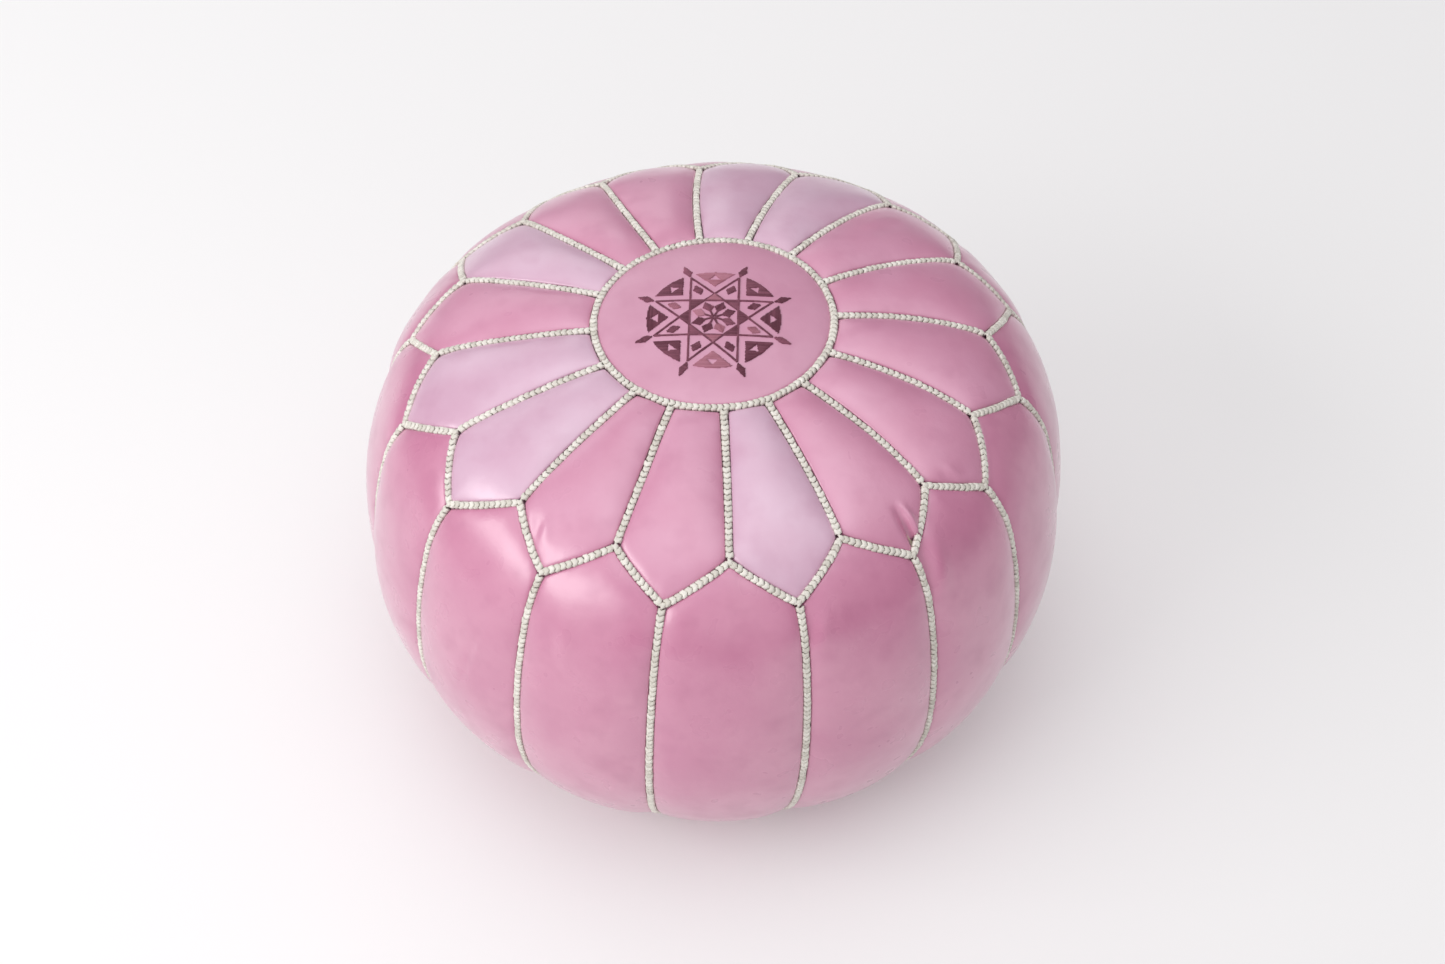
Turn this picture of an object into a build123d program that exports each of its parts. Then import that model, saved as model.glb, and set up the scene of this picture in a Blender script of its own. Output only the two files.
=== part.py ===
"""Moroccan leather pouf: a hand-stitched leather cover over a stuffed calico bag.

The row frame is in millimetres with +Z up. The origin is on the floor, under the middle of the base.
The cover is a body of revolution cut into leather panels: a round medallion, sixteen pointed petals,
sixteen side panels whose peaked tops fit between the petals, and two half rounds in the base with a
zip between them. A flat braid of thread lies along every seam, let into the leather.
"""

import math
import os

from build123d import *

# Overall size
DIAMETER = 530.0
HEIGHT = 335.0

# Outer meridian, as tangent arcs from the crown to the foot. An arc's angles are its slope below
# horizontal: 0 is level at the crown, 90 is upright at the widest point and 180 is level at the foot.
DOME_RADIUS, DOME_END = 720.0, 15.0
SHOULDER_RADIUS, SHOULDER_END = 90.0, 73.0
UPRIGHT = 90.0
UNDERSIDE_END = 138.0
FOOT_RADIUS, FOOT_END = 50.0, 180.0

# Base: the foot ring rests on the floor, and a lip rises from it to the raised round base
LIP_FOOT_RADIUS = 150.0
BASE_RADIUS = 140.0
BASE_HEIGHT = 9.0

# Leather and seams
PANELS = 16
MEDALLION_RADIUS = 89.0
SEAM_PEAK_RADIUS = 201.0
PETAL_TIP_RADIUS = 228.0
LEATHER = 2.4
BRAID_DEPTH = 1.2
BRAID_HALF_WIDTH = 4.0

# Inner bag
BAG_GAP = 0.3
BAG_CLOTH = 1.0
BAG_RECESS_RADIUS = 132.0
BAG_RECESS_HEIGHT = 18.0

# Embroidered star
STAR_RADIUS = 46.0
THREAD_HEIGHT = 0.6
LINE_WIDTH = 1.1

# Zip, which lies along X in the base
CHAIN_END = 107.0
TOOTH_PITCH = 3.0
TOOTH_LENGTH = 1.25
TOOTH_REACH = 0.9
TOOTH_BACK = 3.4
TOOTH_HEIGHT = 3.2
TAPE_EDGE = 2.2
TAPE_OUTER = 17.0
TAPE_THICKNESS = 0.8
TAPE_END = 120.0
ZIP_SLOT = 7.0
SLIDER_LENGTH = 14.0
SLIDER_REST = 102.0
SLIDER_HALF_WIDTH = 5.2
PLATE = 1.4
PLATE_GAP = 0.4
FLANGE = 1.2
STOP_OVER = 0.8
STOP_LENGTH = 3.0
TOOTH_CHAMFER = 0.5
PLATE_CORNER = 2.0
PLATE_TAPER = 1.6
EYE_MARGIN = 1.2
FORK_GAP = 0.5
TAB_END_RADIUS = 2.6
HOLLOW_HALF_WIDTH, HOLLOW_RADIUS, HOLLOW_FLOOR = 1.6, 1.4, 0.3
NECK_HALF_WIDTH = 1.6
PIVOT_DROP = 1.6
CROSSBAR_RADIUS = 0.8
BAIL_HALF_WIDTH = 1.5
BAIL_WIRE = 1.3
TAB_LENGTH = 28.0
TAB_HALF_WIDTH = 3.6
TAB_THICKNESS = 1.4
RUNNING_GAP = 0.3

# Worked out from the above
STEP = 360.0 / PANELS
HALF_STEP = STEP / 2
PARTS = "parts"


def sine(degrees):
    return math.sin(math.radians(degrees))


def cosine(degrees):
    return math.cos(math.radians(degrees))


def arc_list():
    """The meridian's arcs as (radius, first slope, last slope); the side and the underside are solved."""
    shoulder_end_r = DOME_RADIUS * sine(DOME_END)
    shoulder_end_r += SHOULDER_RADIUS * (sine(SHOULDER_END) - sine(DOME_END))
    side_radius = (DIAMETER / 2 - shoulder_end_r) / (1 - sine(SHOULDER_END))
    drop_to_widest = DOME_RADIUS * (1 - cosine(DOME_END))
    drop_to_widest += SHOULDER_RADIUS * (cosine(DOME_END) - cosine(SHOULDER_END))
    drop_to_widest += side_radius * cosine(SHOULDER_END)
    drop_in_foot = FOOT_RADIUS * (cosine(UNDERSIDE_END) - cosine(FOOT_END))
    underside_radius = (HEIGHT - drop_to_widest - drop_in_foot) / -cosine(UNDERSIDE_END)
    return [
        (DOME_RADIUS, 0.0, DOME_END),
        (SHOULDER_RADIUS, DOME_END, SHOULDER_END),
        (side_radius, SHOULDER_END, UPRIGHT),
        (underside_radius, UPRIGHT, UNDERSIDE_END),
        (FOOT_RADIUS, UNDERSIDE_END, FOOT_END),
    ]


ARCS = arc_list()


def arc_starts():
    """Where each arc of the outer meridian starts, as (r, z), with the foot's end as the last."""
    points = [(0.0, HEIGHT)]
    for radius, first, last in ARCS:
        r, z = points[-1]
        points.append(
            (
                r + radius * (sine(last) - sine(first)),
                z - radius * (cosine(first) - cosine(last)),
            )
        )
    return points


STARTS = arc_starts()
FOOT_OUTER_RADIUS = STARTS[-1][0]


def meridian(slope, depth=0.0):
    """The point (r, z) of the meridian at that slope, at that depth under the outer surface."""
    for (radius, first, last), (r, z) in zip(ARCS, STARTS):
        if slope <= last + 1e-9:
            break
    centre_r, centre_z = r - radius * sine(first), z - radius * cosine(first)
    return (
        centre_r + (radius - depth) * sine(slope),
        centre_z + (radius - depth) * cosine(slope),
    )


def slope_at(radius_wanted):
    """The slope at which the upper meridian has that radius."""
    for (radius, first, last), (r, _) in zip(ARCS, STARTS):
        share = (radius_wanted - r) / radius + sine(first)
        if share <= sine(last):
            return math.degrees(math.asin(share))
    raise ValueError("that radius is outside the meridian")


def arcs_between(first_slope, last_slope, depth):
    """The meridian's edges at a depth, from one slope to another, in the XZ plane."""
    edges = []
    for _, first, last in ARCS:
        low, high = max(first, first_slope), min(last, last_slope)
        if high - low > 1e-6:
            ends = [meridian(s, depth) for s in (low + 1e-9, (low + high) / 2, high)]
            edges.append(ThreePointArc(*[(r, 0, z) for r, z in ends]))
    return edges


LIP_ANGLE = math.degrees(math.atan2(BASE_HEIGHT, LIP_FOOT_RADIUS - BASE_RADIUS))
MITRE = math.tan(math.radians(LIP_ANGLE / 2))
LIP_LENGTH = math.hypot(BASE_HEIGHT, LIP_FOOT_RADIUS - BASE_RADIUS)


def lip_foot(depth):
    return (LIP_FOOT_RADIUS + MITRE * depth, depth)


def lip_top(depth, short_of=0.0):
    """The lip's upper end at a depth, or a point that far short of it down the lip."""
    if not short_of:
        return (BASE_RADIUS + MITRE * depth, BASE_HEIGHT + depth)
    along = LIP_LENGTH - short_of
    return (
        LIP_FOOT_RADIUS - along * cosine(LIP_ANGLE) + depth * sine(LIP_ANGLE),
        along * sine(LIP_ANGLE) + depth * cosine(LIP_ANGLE),
    )


def polyline_edges(points):
    """Straight edges through (r, z) points."""
    return [Line((a[0], 0, a[1]), (b[0], 0, b[1])) for a, b in zip(points, points[1:])]


def shell_face(first_slope, last_slope, outer, inner, tail=0.0):
    """A closed face of the meridian between two depths; past the foot it follows the lip."""
    outer_edges = arcs_between(first_slope, last_slope, outer)
    inner_edges = arcs_between(first_slope, last_slope, inner)
    outer_end, inner_end = meridian(last_slope, outer), meridian(last_slope, inner)
    if last_slope >= FOOT_END:
        outer_edges += polyline_edges([outer_end, lip_foot(outer), lip_top(outer, tail)])
        inner_edges += polyline_edges([inner_end, lip_foot(inner), lip_top(inner, tail)])
        outer_end, inner_end = lip_top(outer, tail), lip_top(inner, tail)
    caps = polyline_edges([meridian(first_slope, outer), meridian(first_slope, inner)])
    caps += polyline_edges([outer_end, inner_end])
    return make_face(outer_edges + inner_edges + caps)


def sector(face, half_angle):
    """The face turned about Z, as a sector with its middle along +X."""
    turned = revolve(face, axis=Axis.Z, revolution_arc=2 * half_angle)
    return Rot(0, 0, -half_angle) * turned


def full_turn(face):
    return revolve(face, axis=Axis.Z, revolution_arc=360)


def on_shell(radius, azimuth):
    """A point of the outer surface at that radius above the widest point."""
    r, z = meridian(slope_at(radius))
    return Vector(r * cosine(azimuth), r * sine(azimuth), z)


SHOULDER_CENTRE = Vector(
    STARTS[1][0] - SHOULDER_RADIUS * sine(DOME_END),
    0,
    STARTS[1][1] - SHOULDER_RADIUS * cosine(DOME_END),
)


def zigzag_plane(peak_azimuth, tip_azimuth, shift=0.0):
    """The cut through a seam peak and a petal tip, square to the shoulder; its normal points up."""
    peak = on_shell(SEAM_PEAK_RADIUS, peak_azimuth)
    tip = on_shell(PETAL_TIP_RADIUS, tip_azimuth)
    inside = SHOULDER_CENTRE.rotate(Axis.Z, (peak_azimuth + tip_azimuth) / 2)
    normal = (peak - inside).cross(tip - inside).normalized()
    if normal.Z < 0:
        normal = normal * -1
    return Plane(origin=peak + normal * shift, z_dir=normal)


def radial_plane(azimuth, shift=0.0):
    """The upright plane through the axis at that azimuth; its normal is towards larger azimuths."""
    normal = Vector(-sine(azimuth), cosine(azimuth), 0)
    return Plane(origin=normal * shift, z_dir=normal)


def above(solid, *planes):
    for plane in planes:
        solid = split(solid, bisect_by=plane, keep=Keep.TOP)
    return solid


def below(solid, *planes):
    for plane in planes:
        solid = split(solid, bisect_by=plane, keep=Keep.BOTTOM)
    return solid


MEDALLION_SLOPE = slope_at(MEDALLION_RADIUS)
RING_SHARE = math.degrees(BRAID_HALF_WIDTH / DOME_RADIUS)
PAST_TIPS = SHOULDER_END
BEFORE_PEAKS = slope_at(SEAM_PEAK_RADIUS) - 4.0
W = BRAID_HALF_WIDTH


def medallion():
    under = full_turn(shell_face(0, MEDALLION_SLOPE, BRAID_DEPTH, LEATHER))
    over = full_turn(shell_face(0, MEDALLION_SLOPE - RING_SHARE, 0, BRAID_DEPTH))
    return under + over


def petal():
    """One petal about +X, with its tip there and a seam peak on each side."""
    sides = (-HALF_STEP, HALF_STEP)
    under = sector(shell_face(MEDALLION_SLOPE, PAST_TIPS, BRAID_DEPTH, LEATHER), HALF_STEP)
    under = above(under, *[zigzag_plane(side, 0) for side in sides])
    over = sector(shell_face(MEDALLION_SLOPE + RING_SHARE, PAST_TIPS, 0, BRAID_DEPTH), HALF_STEP)
    over = above(over, *[zigzag_plane(side, 0, W) for side in sides])
    over = above(over, radial_plane(-HALF_STEP, W))
    over = below(over, radial_plane(HALF_STEP, -W))
    return under + over


def side_panel():
    """One side panel about +X, with its peak there and a petal tip on each side."""
    sides = (-HALF_STEP, HALF_STEP)
    under = sector(shell_face(BEFORE_PEAKS, FOOT_END, BRAID_DEPTH, LEATHER), HALF_STEP)
    under = below(under, *[zigzag_plane(0, side) for side in sides])
    over = sector(shell_face(BEFORE_PEAKS, FOOT_END, 0, BRAID_DEPTH, tail=W), HALF_STEP)
    over = below(over, *[zigzag_plane(0, side, -W) for side in sides])
    over = above(over, radial_plane(-HALF_STEP, W))
    over = below(over, radial_plane(HALF_STEP, -W))
    return under + over


def medallion_braid():
    face = shell_face(MEDALLION_SLOPE - RING_SHARE, MEDALLION_SLOPE + RING_SHARE, 0, BRAID_DEPTH)
    return full_turn(face)


def petal_seam_braid():
    """The braid between two petals, about +X, from the medallion's ring to the seam peak."""
    face = shell_face(MEDALLION_SLOPE + RING_SHARE, PAST_TIPS, 0, BRAID_DEPTH)
    strip = above(sector(face, HALF_STEP), radial_plane(0, -W))
    strip = below(strip, radial_plane(0, W))
    return above(strip, *[zigzag_plane(0, side, W) for side in (-HALF_STEP, HALF_STEP)])


def zigzag_braid():
    """The braid from a seam peak at +X to the next petal tip."""
    face = shell_face(BEFORE_PEAKS, PAST_TIPS, 0, BRAID_DEPTH)
    strip = Rot(0, 0, HALF_STEP / 2) * sector(face, HALF_STEP / 2)
    strip = below(strip, zigzag_plane(0, HALF_STEP, W))
    return above(strip, zigzag_plane(0, HALF_STEP, -W))


def side_seam_braid():
    """The braid between two side panels, about +X, from a petal tip to the base's ring."""
    face = shell_face(BEFORE_PEAKS, FOOT_END, 0, BRAID_DEPTH, tail=W)
    strip = above(sector(face, HALF_STEP), radial_plane(0, -W))
    strip = below(strip, radial_plane(0, W))
    return below(strip, *[zigzag_plane(side, 0, -W) for side in (-HALF_STEP, HALF_STEP)])


def base_braid():
    outer = [lip_top(0, W), lip_top(0), (BASE_RADIUS - W, BASE_HEIGHT)]
    inner = [
        (BASE_RADIUS - W, BASE_HEIGHT + BRAID_DEPTH),
        lip_top(BRAID_DEPTH),
        lip_top(BRAID_DEPTH, W),
    ]
    points = outer + inner
    return full_turn(make_face(polyline_edges(points + points[:1])))


def base_half(side):
    """Half of the round base, on the +Y side for side 1; its straight edge frames the zip."""
    under_low, under_high = BASE_HEIGHT + BRAID_DEPTH, BASE_HEIGHT + LEATHER
    under = [
        (0, under_low),
        lip_top(BRAID_DEPTH),
        lip_top(LEATHER),
        (0, under_high),
    ]
    disc = full_turn(make_face(polyline_edges(under + under[:1])))
    disc += Pos(0, 0, BASE_HEIGHT) * Cylinder(
        BASE_RADIUS - W, BRAID_DEPTH, align=(Align.CENTER, Align.CENTER, Align.MIN)
    )
    return above(disc, Plane(origin=(0, side * ZIP_SLOT, 0), z_dir=(0, side, 0)))


def bag_face(depth):
    """The half section of the bag or its filling, with a recess over the zip."""
    foot_r, foot_z = meridian(FOOT_END, depth)
    extra = depth - LEATHER - BAG_GAP
    points = [
        (foot_r, foot_z),
        lip_foot(depth),
        lip_top(depth),
        (BAG_RECESS_RADIUS + extra, BAG_RECESS_HEIGHT + extra),
        (0, BAG_RECESS_HEIGHT + extra),
        meridian(0, depth),
    ]
    return make_face(arcs_between(0, FOOT_END, depth) + polyline_edges(points))


def inner_bag():
    depth = LEATHER + BAG_GAP
    return full_turn(bag_face(depth)) - full_turn(bag_face(depth + BAG_CLOTH))


def stuffing():
    return full_turn(bag_face(LEATHER + BAG_GAP + BAG_CLOTH))


# The star is the eight-pointed one whose every point is joined to the third point round from it.
LINE_DISTANCE = STAR_RADIUS * cosine(67.5)
OCTAGON_CORNER = LINE_DISTANCE / cosine(22.5)
CROSSING = LINE_DISTANCE * math.sqrt(2)
DIAMOND_MIDDLE, DIAMOND_LONG, DIAMOND_SHORT = 0.68, 0.13, 0.075
FINIAL_START, FINIAL_MIDDLE, FINIAL_END, FINIAL_HALF = 1.03, 1.17, 1.33, 0.055
SEGMENT_APEX, SEGMENT_RADIUS, SEGMENT_HALF_ANGLE = 0.74, 1.08, 17.0
WINDOW_BASE, WINDOW_APEX, WINDOW_HALF = 0.90, 1.02, 0.10
FLOWER_START, FLOWER_MIDDLE, FLOWER_END, FLOWER_HALF = 0.10, 0.22, 0.345, 0.085


def polar(radius, azimuth):
    return (radius * cosine(azimuth), radius * sine(azimuth))


def motif(points, azimuth):
    """A filled shape of the star as an upright prism, from points given about +X."""
    prism = extrude(make_face(Polyline(*points, close=True)), amount=HEIGHT + 5)
    return Rot(0, 0, azimuth) * prism


def kite(start, middle, end, half, azimuth):
    scaled = [(start, 0), (middle, half), (end, 0), (middle, -half)]
    return motif([(x * STAR_RADIUS, y * STAR_RADIUS) for x, y in scaled], azimuth)


def outer_segment(azimuth):
    """The curved triangle between two points of the star, with its small open window."""
    tip = (SEGMENT_APEX * STAR_RADIUS, 0)
    radius = SEGMENT_RADIUS * STAR_RADIUS
    low, high = polar(radius, -SEGMENT_HALF_ANGLE), polar(radius, SEGMENT_HALF_ANGLE)
    edges = [Line(tip, low), ThreePointArc(low, (radius, 0), high), Line(high, tip)]
    window = [(WINDOW_BASE, -WINDOW_HALF), (WINDOW_APEX, 0), (WINDOW_BASE, WINDOW_HALF)]
    window = [(x * STAR_RADIUS, y * STAR_RADIUS) for x, y in window]
    face = make_face(edges) - make_face(Polyline(*window, close=True))
    return Rot(0, 0, azimuth) * extrude(face, amount=HEIGHT + 5)


def thread_layer():
    """A thin skin on the medallion, which the star's shapes are cut from."""
    return full_turn(shell_face(0, MEDALLION_SLOPE - 2 * RING_SHARE, -THREAD_HEIGHT, 0))


def star_outline(layer):
    """The eight straight lines, each in two runs outside the octagon's filled triangles."""
    shapes = []
    half = LINE_WIDTH / 2
    inner_y = LINE_DISTANCE
    outer_y = STAR_RADIUS * sine(67.5)
    for k in range(8):
        for side in (-1, 1):
            middle = side * (inner_y + outer_y) / 2
            run = Pos(LINE_DISTANCE, middle, 0) * Box(LINE_WIDTH, outer_y - inner_y, 2 * HEIGHT + 10)
            shapes.append(Rot(0, 0, 45 * k) * run)
    lines = shapes[0].fuse(*shapes[1:])
    centre_knot = Cylinder(2.5 * half, 2 * HEIGHT + 10)
    return (layer & lines) + (layer & centre_knot)


def octagon_triangle(azimuth):
    inset = 0.6
    base = LINE_DISTANCE + inset / 2
    half = OCTAGON_CORNER * sine(22.5) - inset
    return motif([(base, -half), (CROSSING - inset, 0), (base, half)], azimuth)


def star_fills(layer, rose):
    """The filled shapes in one of the two thread colours."""
    light_triangles = (90, 270)
    light_segments = (90, 270)
    light_diamonds = (157.5, 337.5)
    light_flowers = (157.5, 337.5, 292.5)
    shapes = []
    for k in range(8):
        straight, tip = 45 * k, STEP + 45 * k
        if (straight in light_triangles) == rose:
            shapes.append(octagon_triangle(straight))
        if (straight in light_segments) == rose:
            shapes.append(outer_segment(straight))
        long, short = DIAMOND_LONG, DIAMOND_SHORT
        if (tip in light_diamonds) == rose:
            middle = DIAMOND_MIDDLE
            shapes.append(kite(middle - long, middle, middle + long, short, tip))
        if (tip in light_flowers) == rose:
            shapes.append(kite(FLOWER_START, FLOWER_MIDDLE, FLOWER_END, FLOWER_HALF, tip))
        if not rose:
            shapes.append(kite(FINIAL_START, FINIAL_MIDDLE, FINIAL_END, FINIAL_HALF, tip))
    return Compound([solid for shape in shapes for solid in (layer & shape).solids()])


TAPE_LOW = BASE_HEIGHT + LEATHER
TAPE_MIDDLE = TAPE_LOW + TAPE_THICKNESS / 2
CHAIN_LOW = TAPE_MIDDLE - TOOTH_HEIGHT / 2
CHAIN_HIGH = TAPE_MIDDLE + TOOTH_HEIGHT / 2
PLATE_LOW = CHAIN_LOW - PLATE_GAP
PLATE_HIGH = CHAIN_HIGH + PLATE_GAP


def block(x, y, z):
    """A box from its low and high values along each axis."""
    size = Box(x[1] - x[0], y[1] - y[0], z[1] - z[0])
    return Pos((x[0] + x[1]) / 2, (y[0] + y[1]) / 2, (z[0] + z[1]) / 2) * size


def both_ways(low, high, side):
    """A range from low to high, on the side of zero that side says."""
    return (low, high) if side > 0 else (-high, -low)


def zip_tape(side):
    across = both_ways(TAPE_EDGE, TAPE_OUTER, side)
    return block((-TAPE_END, TAPE_END), across, (TAPE_LOW, TAPE_LOW + TAPE_THICKNESS))


def zip_teeth(side):
    """One row of teeth clamped on its tape's edge; the other row sits half a pitch along."""
    along = (-TOOTH_LENGTH / 2, TOOTH_LENGTH / 2)
    tooth = block(along, both_ways(-TOOTH_REACH, TOOTH_BACK, side), (CHAIN_LOW, CHAIN_HIGH))
    slot = both_ways(TAPE_EDGE, TOOTH_BACK + 1, side)
    tooth -= block(along, slot, (TAPE_LOW, TAPE_LOW + TAPE_THICKNESS))
    for end in (-1, 0):
        tooth = chamfer(tooth.edges().filter_by(Axis.X).group_by(Axis.Z)[end], TOOTH_CHAMFER)
    count = int((2 * CHAIN_END - TOOTH_PITCH) / TOOTH_PITCH)
    first = -count * TOOTH_PITCH / 2 + side * TOOTH_PITCH / 4
    return Compound([Pos(first + k * TOOTH_PITCH, 0, 0) * tooth for k in range(count + 1)])


def zip_end_stops():
    """The two blocks that the closed slider meets, one on each tape."""
    front = SLIDER_REST + SLIDER_LENGTH / 2 + RUNNING_GAP
    height = (PLATE_LOW - STOP_OVER, PLATE_HIGH + STOP_OVER)
    stops = []
    for side in (-1, 1):
        stop = block((front, front + STOP_LENGTH), both_ways(NECK_HALF_WIDTH, TOOTH_BACK, side), height)
        stop -= zip_tape(side)
        stops += stop.solids()
    return Compound(stops)


def zip_foot_stop():
    """The bar across both tapes that the open slider meets, half a millimetre past the last teeth."""
    bar = block(
        (-CHAIN_END - 0.5 - STOP_LENGTH, -CHAIN_END - 0.5),
        (-TOOTH_BACK, TOOTH_BACK),
        (PLATE_LOW - STOP_OVER, PLATE_HIGH + STOP_OVER),
    )
    return bar - zip_tape(-1) - zip_tape(1)


SLIDER_FOOT = PLATE_LOW - PLATE
PIVOT_HEIGHT = SLIDER_FOOT - PIVOT_DROP


def slider_plate(low, high):
    """A plate of the slider: a block with cut corners that narrows a little to its back end."""
    half = SLIDER_LENGTH / 2
    wide, back = SLIDER_HALF_WIDTH, SLIDER_HALF_WIDTH - PLATE_TAPER
    outline = [
        (half - PLATE_CORNER, -wide),
        (half, -wide + PLATE_CORNER),
        (half, wide - PLATE_CORNER),
        (half - PLATE_CORNER, wide),
        (-half + 1, back + 1),
        (-half, back),
        (-half, -back),
        (-half + 1, -back - 1),
    ]
    face = make_face(Polyline(*outline, close=True))
    return Pos(0, 0, low) * extrude(face, amount=high - low)


def bail():
    """The arch under the slider that the pull tab's crossbar turns in."""
    inner = CROSSBAR_RADIUS + RUNNING_GAP
    outer = inner + BAIL_WIRE
    turned = (90, 0, 0)
    arch = Rot(*turned) * Cylinder(outer, 2 * BAIL_HALF_WIDTH)
    arch += block((-outer, outer), (-BAIL_HALF_WIDTH, BAIL_HALF_WIDTH), (0, PIVOT_DROP + 0.2))
    arch -= Rot(*turned) * Cylinder(inner, 2 * BAIL_HALF_WIDTH + 1)
    arch = Pos(0, 0, PIVOT_HEIGHT) * arch
    roof = SLIDER_FOOT + 0.2
    return split(arch, bisect_by=Plane(origin=(0, 0, roof), z_dir=(0, 0, 1)), keep=Keep.BOTTOM)


def zip_slider():
    """Two plates held apart by the neck, with flanges that guide the chain, and the bail."""
    half = SLIDER_LENGTH / 2
    body = slider_plate(SLIDER_FOOT, PLATE_LOW) + slider_plate(PLATE_HIGH, PLATE_HIGH + PLATE)
    for side in (-1, 1):
        across = both_ways(SLIDER_HALF_WIDTH - FLANGE, SLIDER_HALF_WIDTH - 0.1, side)
        along = (-half + 2, half - 2.2)
        body += block(along, across, (PLATE_LOW - 0.1, TAPE_LOW - RUNNING_GAP))
        top = TAPE_LOW + TAPE_THICKNESS + RUNNING_GAP
        body += block(along, across, (top, PLATE_HIGH + 0.1))
    neck = (half - 1.6, half - 0.2)
    body += block(neck, (-NECK_HALF_WIDTH, NECK_HALF_WIDTH), (PLATE_LOW - 0.1, PLATE_HIGH + 0.1))
    body = body + bail()
    return Pos(SLIDER_REST, 0, 0) * body


def zip_pull_tab():
    """A flat tab whose forked end holds the crossbar; at rest it points along -X."""
    thickness = (-TAB_THICKNESS / 2, TAB_THICKNESS / 2)
    width = (-TAB_HALF_WIDTH, TAB_HALF_WIDTH)
    tab = block((0, TAB_LENGTH), width, thickness)
    tab = fillet(tab.edges().filter_by(Axis.Z).group_by(Axis.X)[-1], TAB_END_RADIUS)
    eye = CROSSBAR_RADIUS + RUNNING_GAP + BAIL_WIRE + EYE_MARGIN
    fork = BAIL_HALF_WIDTH + FORK_GAP
    tab -= block((-1, eye), (-fork, fork), (-TAB_THICKNESS, TAB_THICKNESS))
    across = (-HOLLOW_HALF_WIDTH, HOLLOW_HALF_WIDTH)
    hollow = block((eye + 5, TAB_LENGTH - 4), across, (-TAB_THICKNESS, -HOLLOW_FLOOR))
    tab -= fillet(hollow.edges().filter_by(Axis.Z), HOLLOW_RADIUS)
    tab += Rot(90, 0, 0) * Cylinder(CROSSBAR_RADIUS, 2 * TAB_HALF_WIDTH)
    return Pos(SLIDER_REST, 0, PIVOT_HEIGHT) * Rot(0, 0, 180) * tab


def ring_of(solid, first_azimuth):
    """Sixteen copies of a solid round the axis, as separate solids in one node."""
    copies = [Rot(0, 0, first_azimuth + STEP * k) * solid for k in range(PANELS)]
    return Compound([s for c in copies for s in c.solids()])


def write(name, shape):
    export_step(shape, f"{PARTS}/{name}.step")


def main():
    os.makedirs(PARTS, exist_ok=True)
    write("medallion", medallion())
    one_petal, one_side = petal(), side_panel()
    # A petal's tip is half a step round from the seam peaks, the first of which is at -90 degrees.
    for k in range(PANELS):
        azimuth = -90 + STEP * k
        write(f"petal_{k + 1:02d}", Rot(0, 0, azimuth + HALF_STEP) * one_petal)
        write(f"side_panel_{k + 1:02d}", Rot(0, 0, azimuth) * one_side)
    write("medallion_braid", medallion_braid())
    write("petal_seam_braids", ring_of(petal_seam_braid(), -90))
    up, down = zigzag_braid(), mirror(zigzag_braid(), about=Plane.XZ)
    write("zigzag_braids", Compound(ring_of(up, -90).solids() + ring_of(down, -90).solids()))
    write("side_seam_braids", ring_of(side_seam_braid(), -90 + HALF_STEP))
    write("base_braid", base_braid())
    write("base_half_front", base_half(-1))
    write("base_half_back", base_half(1))
    layer = thread_layer()
    write("embroidery_outline", star_outline(layer))
    write("embroidery_plum_fills", star_fills(layer, rose=False))
    write("embroidery_rose_fills", star_fills(layer, rose=True))
    write("inner_bag", inner_bag())
    write("stuffing", stuffing())
    write("zip_tape_front", zip_tape(-1))
    write("zip_tape_back", zip_tape(1))
    write("zip_teeth_front", zip_teeth(-1))
    write("zip_teeth_back", zip_teeth(1))
    write("zip_end_stops", zip_end_stops())
    write("zip_foot_stop", zip_foot_stop())
    write("zip_slider", zip_slider())
    write("zip_pull_tab", zip_pull_tab())
    print("foot ring outer radius", round(FOOT_OUTER_RADIUS, 2), "pivot height", round(PIVOT_HEIGHT, 2))


main()
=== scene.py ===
"""Moroccan leather pouf: the finished look of the stitched leather cover, its braids, star and zip.

Lengths are in metres in the CAD frame: +Z up, the origin on the floor under the middle of the base,
and the front of the pouf towards -Y. The leather cover is one skin laced along its seams. It is blown
up by a cloth simulation and then cut into its panels, each with rolled edges beside the braid.
"""

import math
import random

import bmesh
import bpy
import numpy as np
from mathutils import Matrix, Vector, noise


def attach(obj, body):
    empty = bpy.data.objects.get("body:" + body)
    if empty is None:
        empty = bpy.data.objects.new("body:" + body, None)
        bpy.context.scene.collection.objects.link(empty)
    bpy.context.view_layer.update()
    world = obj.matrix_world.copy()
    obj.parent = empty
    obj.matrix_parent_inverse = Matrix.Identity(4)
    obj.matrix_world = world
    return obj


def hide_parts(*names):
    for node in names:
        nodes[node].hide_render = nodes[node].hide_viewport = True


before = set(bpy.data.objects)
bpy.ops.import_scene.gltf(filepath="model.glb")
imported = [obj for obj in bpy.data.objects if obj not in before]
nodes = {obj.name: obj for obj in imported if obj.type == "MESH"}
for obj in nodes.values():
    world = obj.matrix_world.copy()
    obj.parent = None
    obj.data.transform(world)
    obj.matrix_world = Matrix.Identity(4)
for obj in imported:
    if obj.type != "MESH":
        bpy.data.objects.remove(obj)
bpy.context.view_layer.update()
MM = 0.001

# ---------------------------------------------------------------------------------------------
# The meridian, as in the CAD model: tangent arcs given by their slopes below horizontal
# ---------------------------------------------------------------------------------------------
RADIUS = 265.0 * MM
HEIGHT = 335.0 * MM
DOME_RADIUS, DOME_END = 720.0 * MM, 15.0
SHOULDER_RADIUS, SHOULDER_END = 90.0 * MM, 73.0
UNDERSIDE_END = 138.0
FOOT_RADIUS = 50.0 * MM
LIP_FOOT_RADIUS = 150.0 * MM
BASE_RADIUS = 140.0 * MM
BASE_HEIGHT = 9.0 * MM

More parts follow.
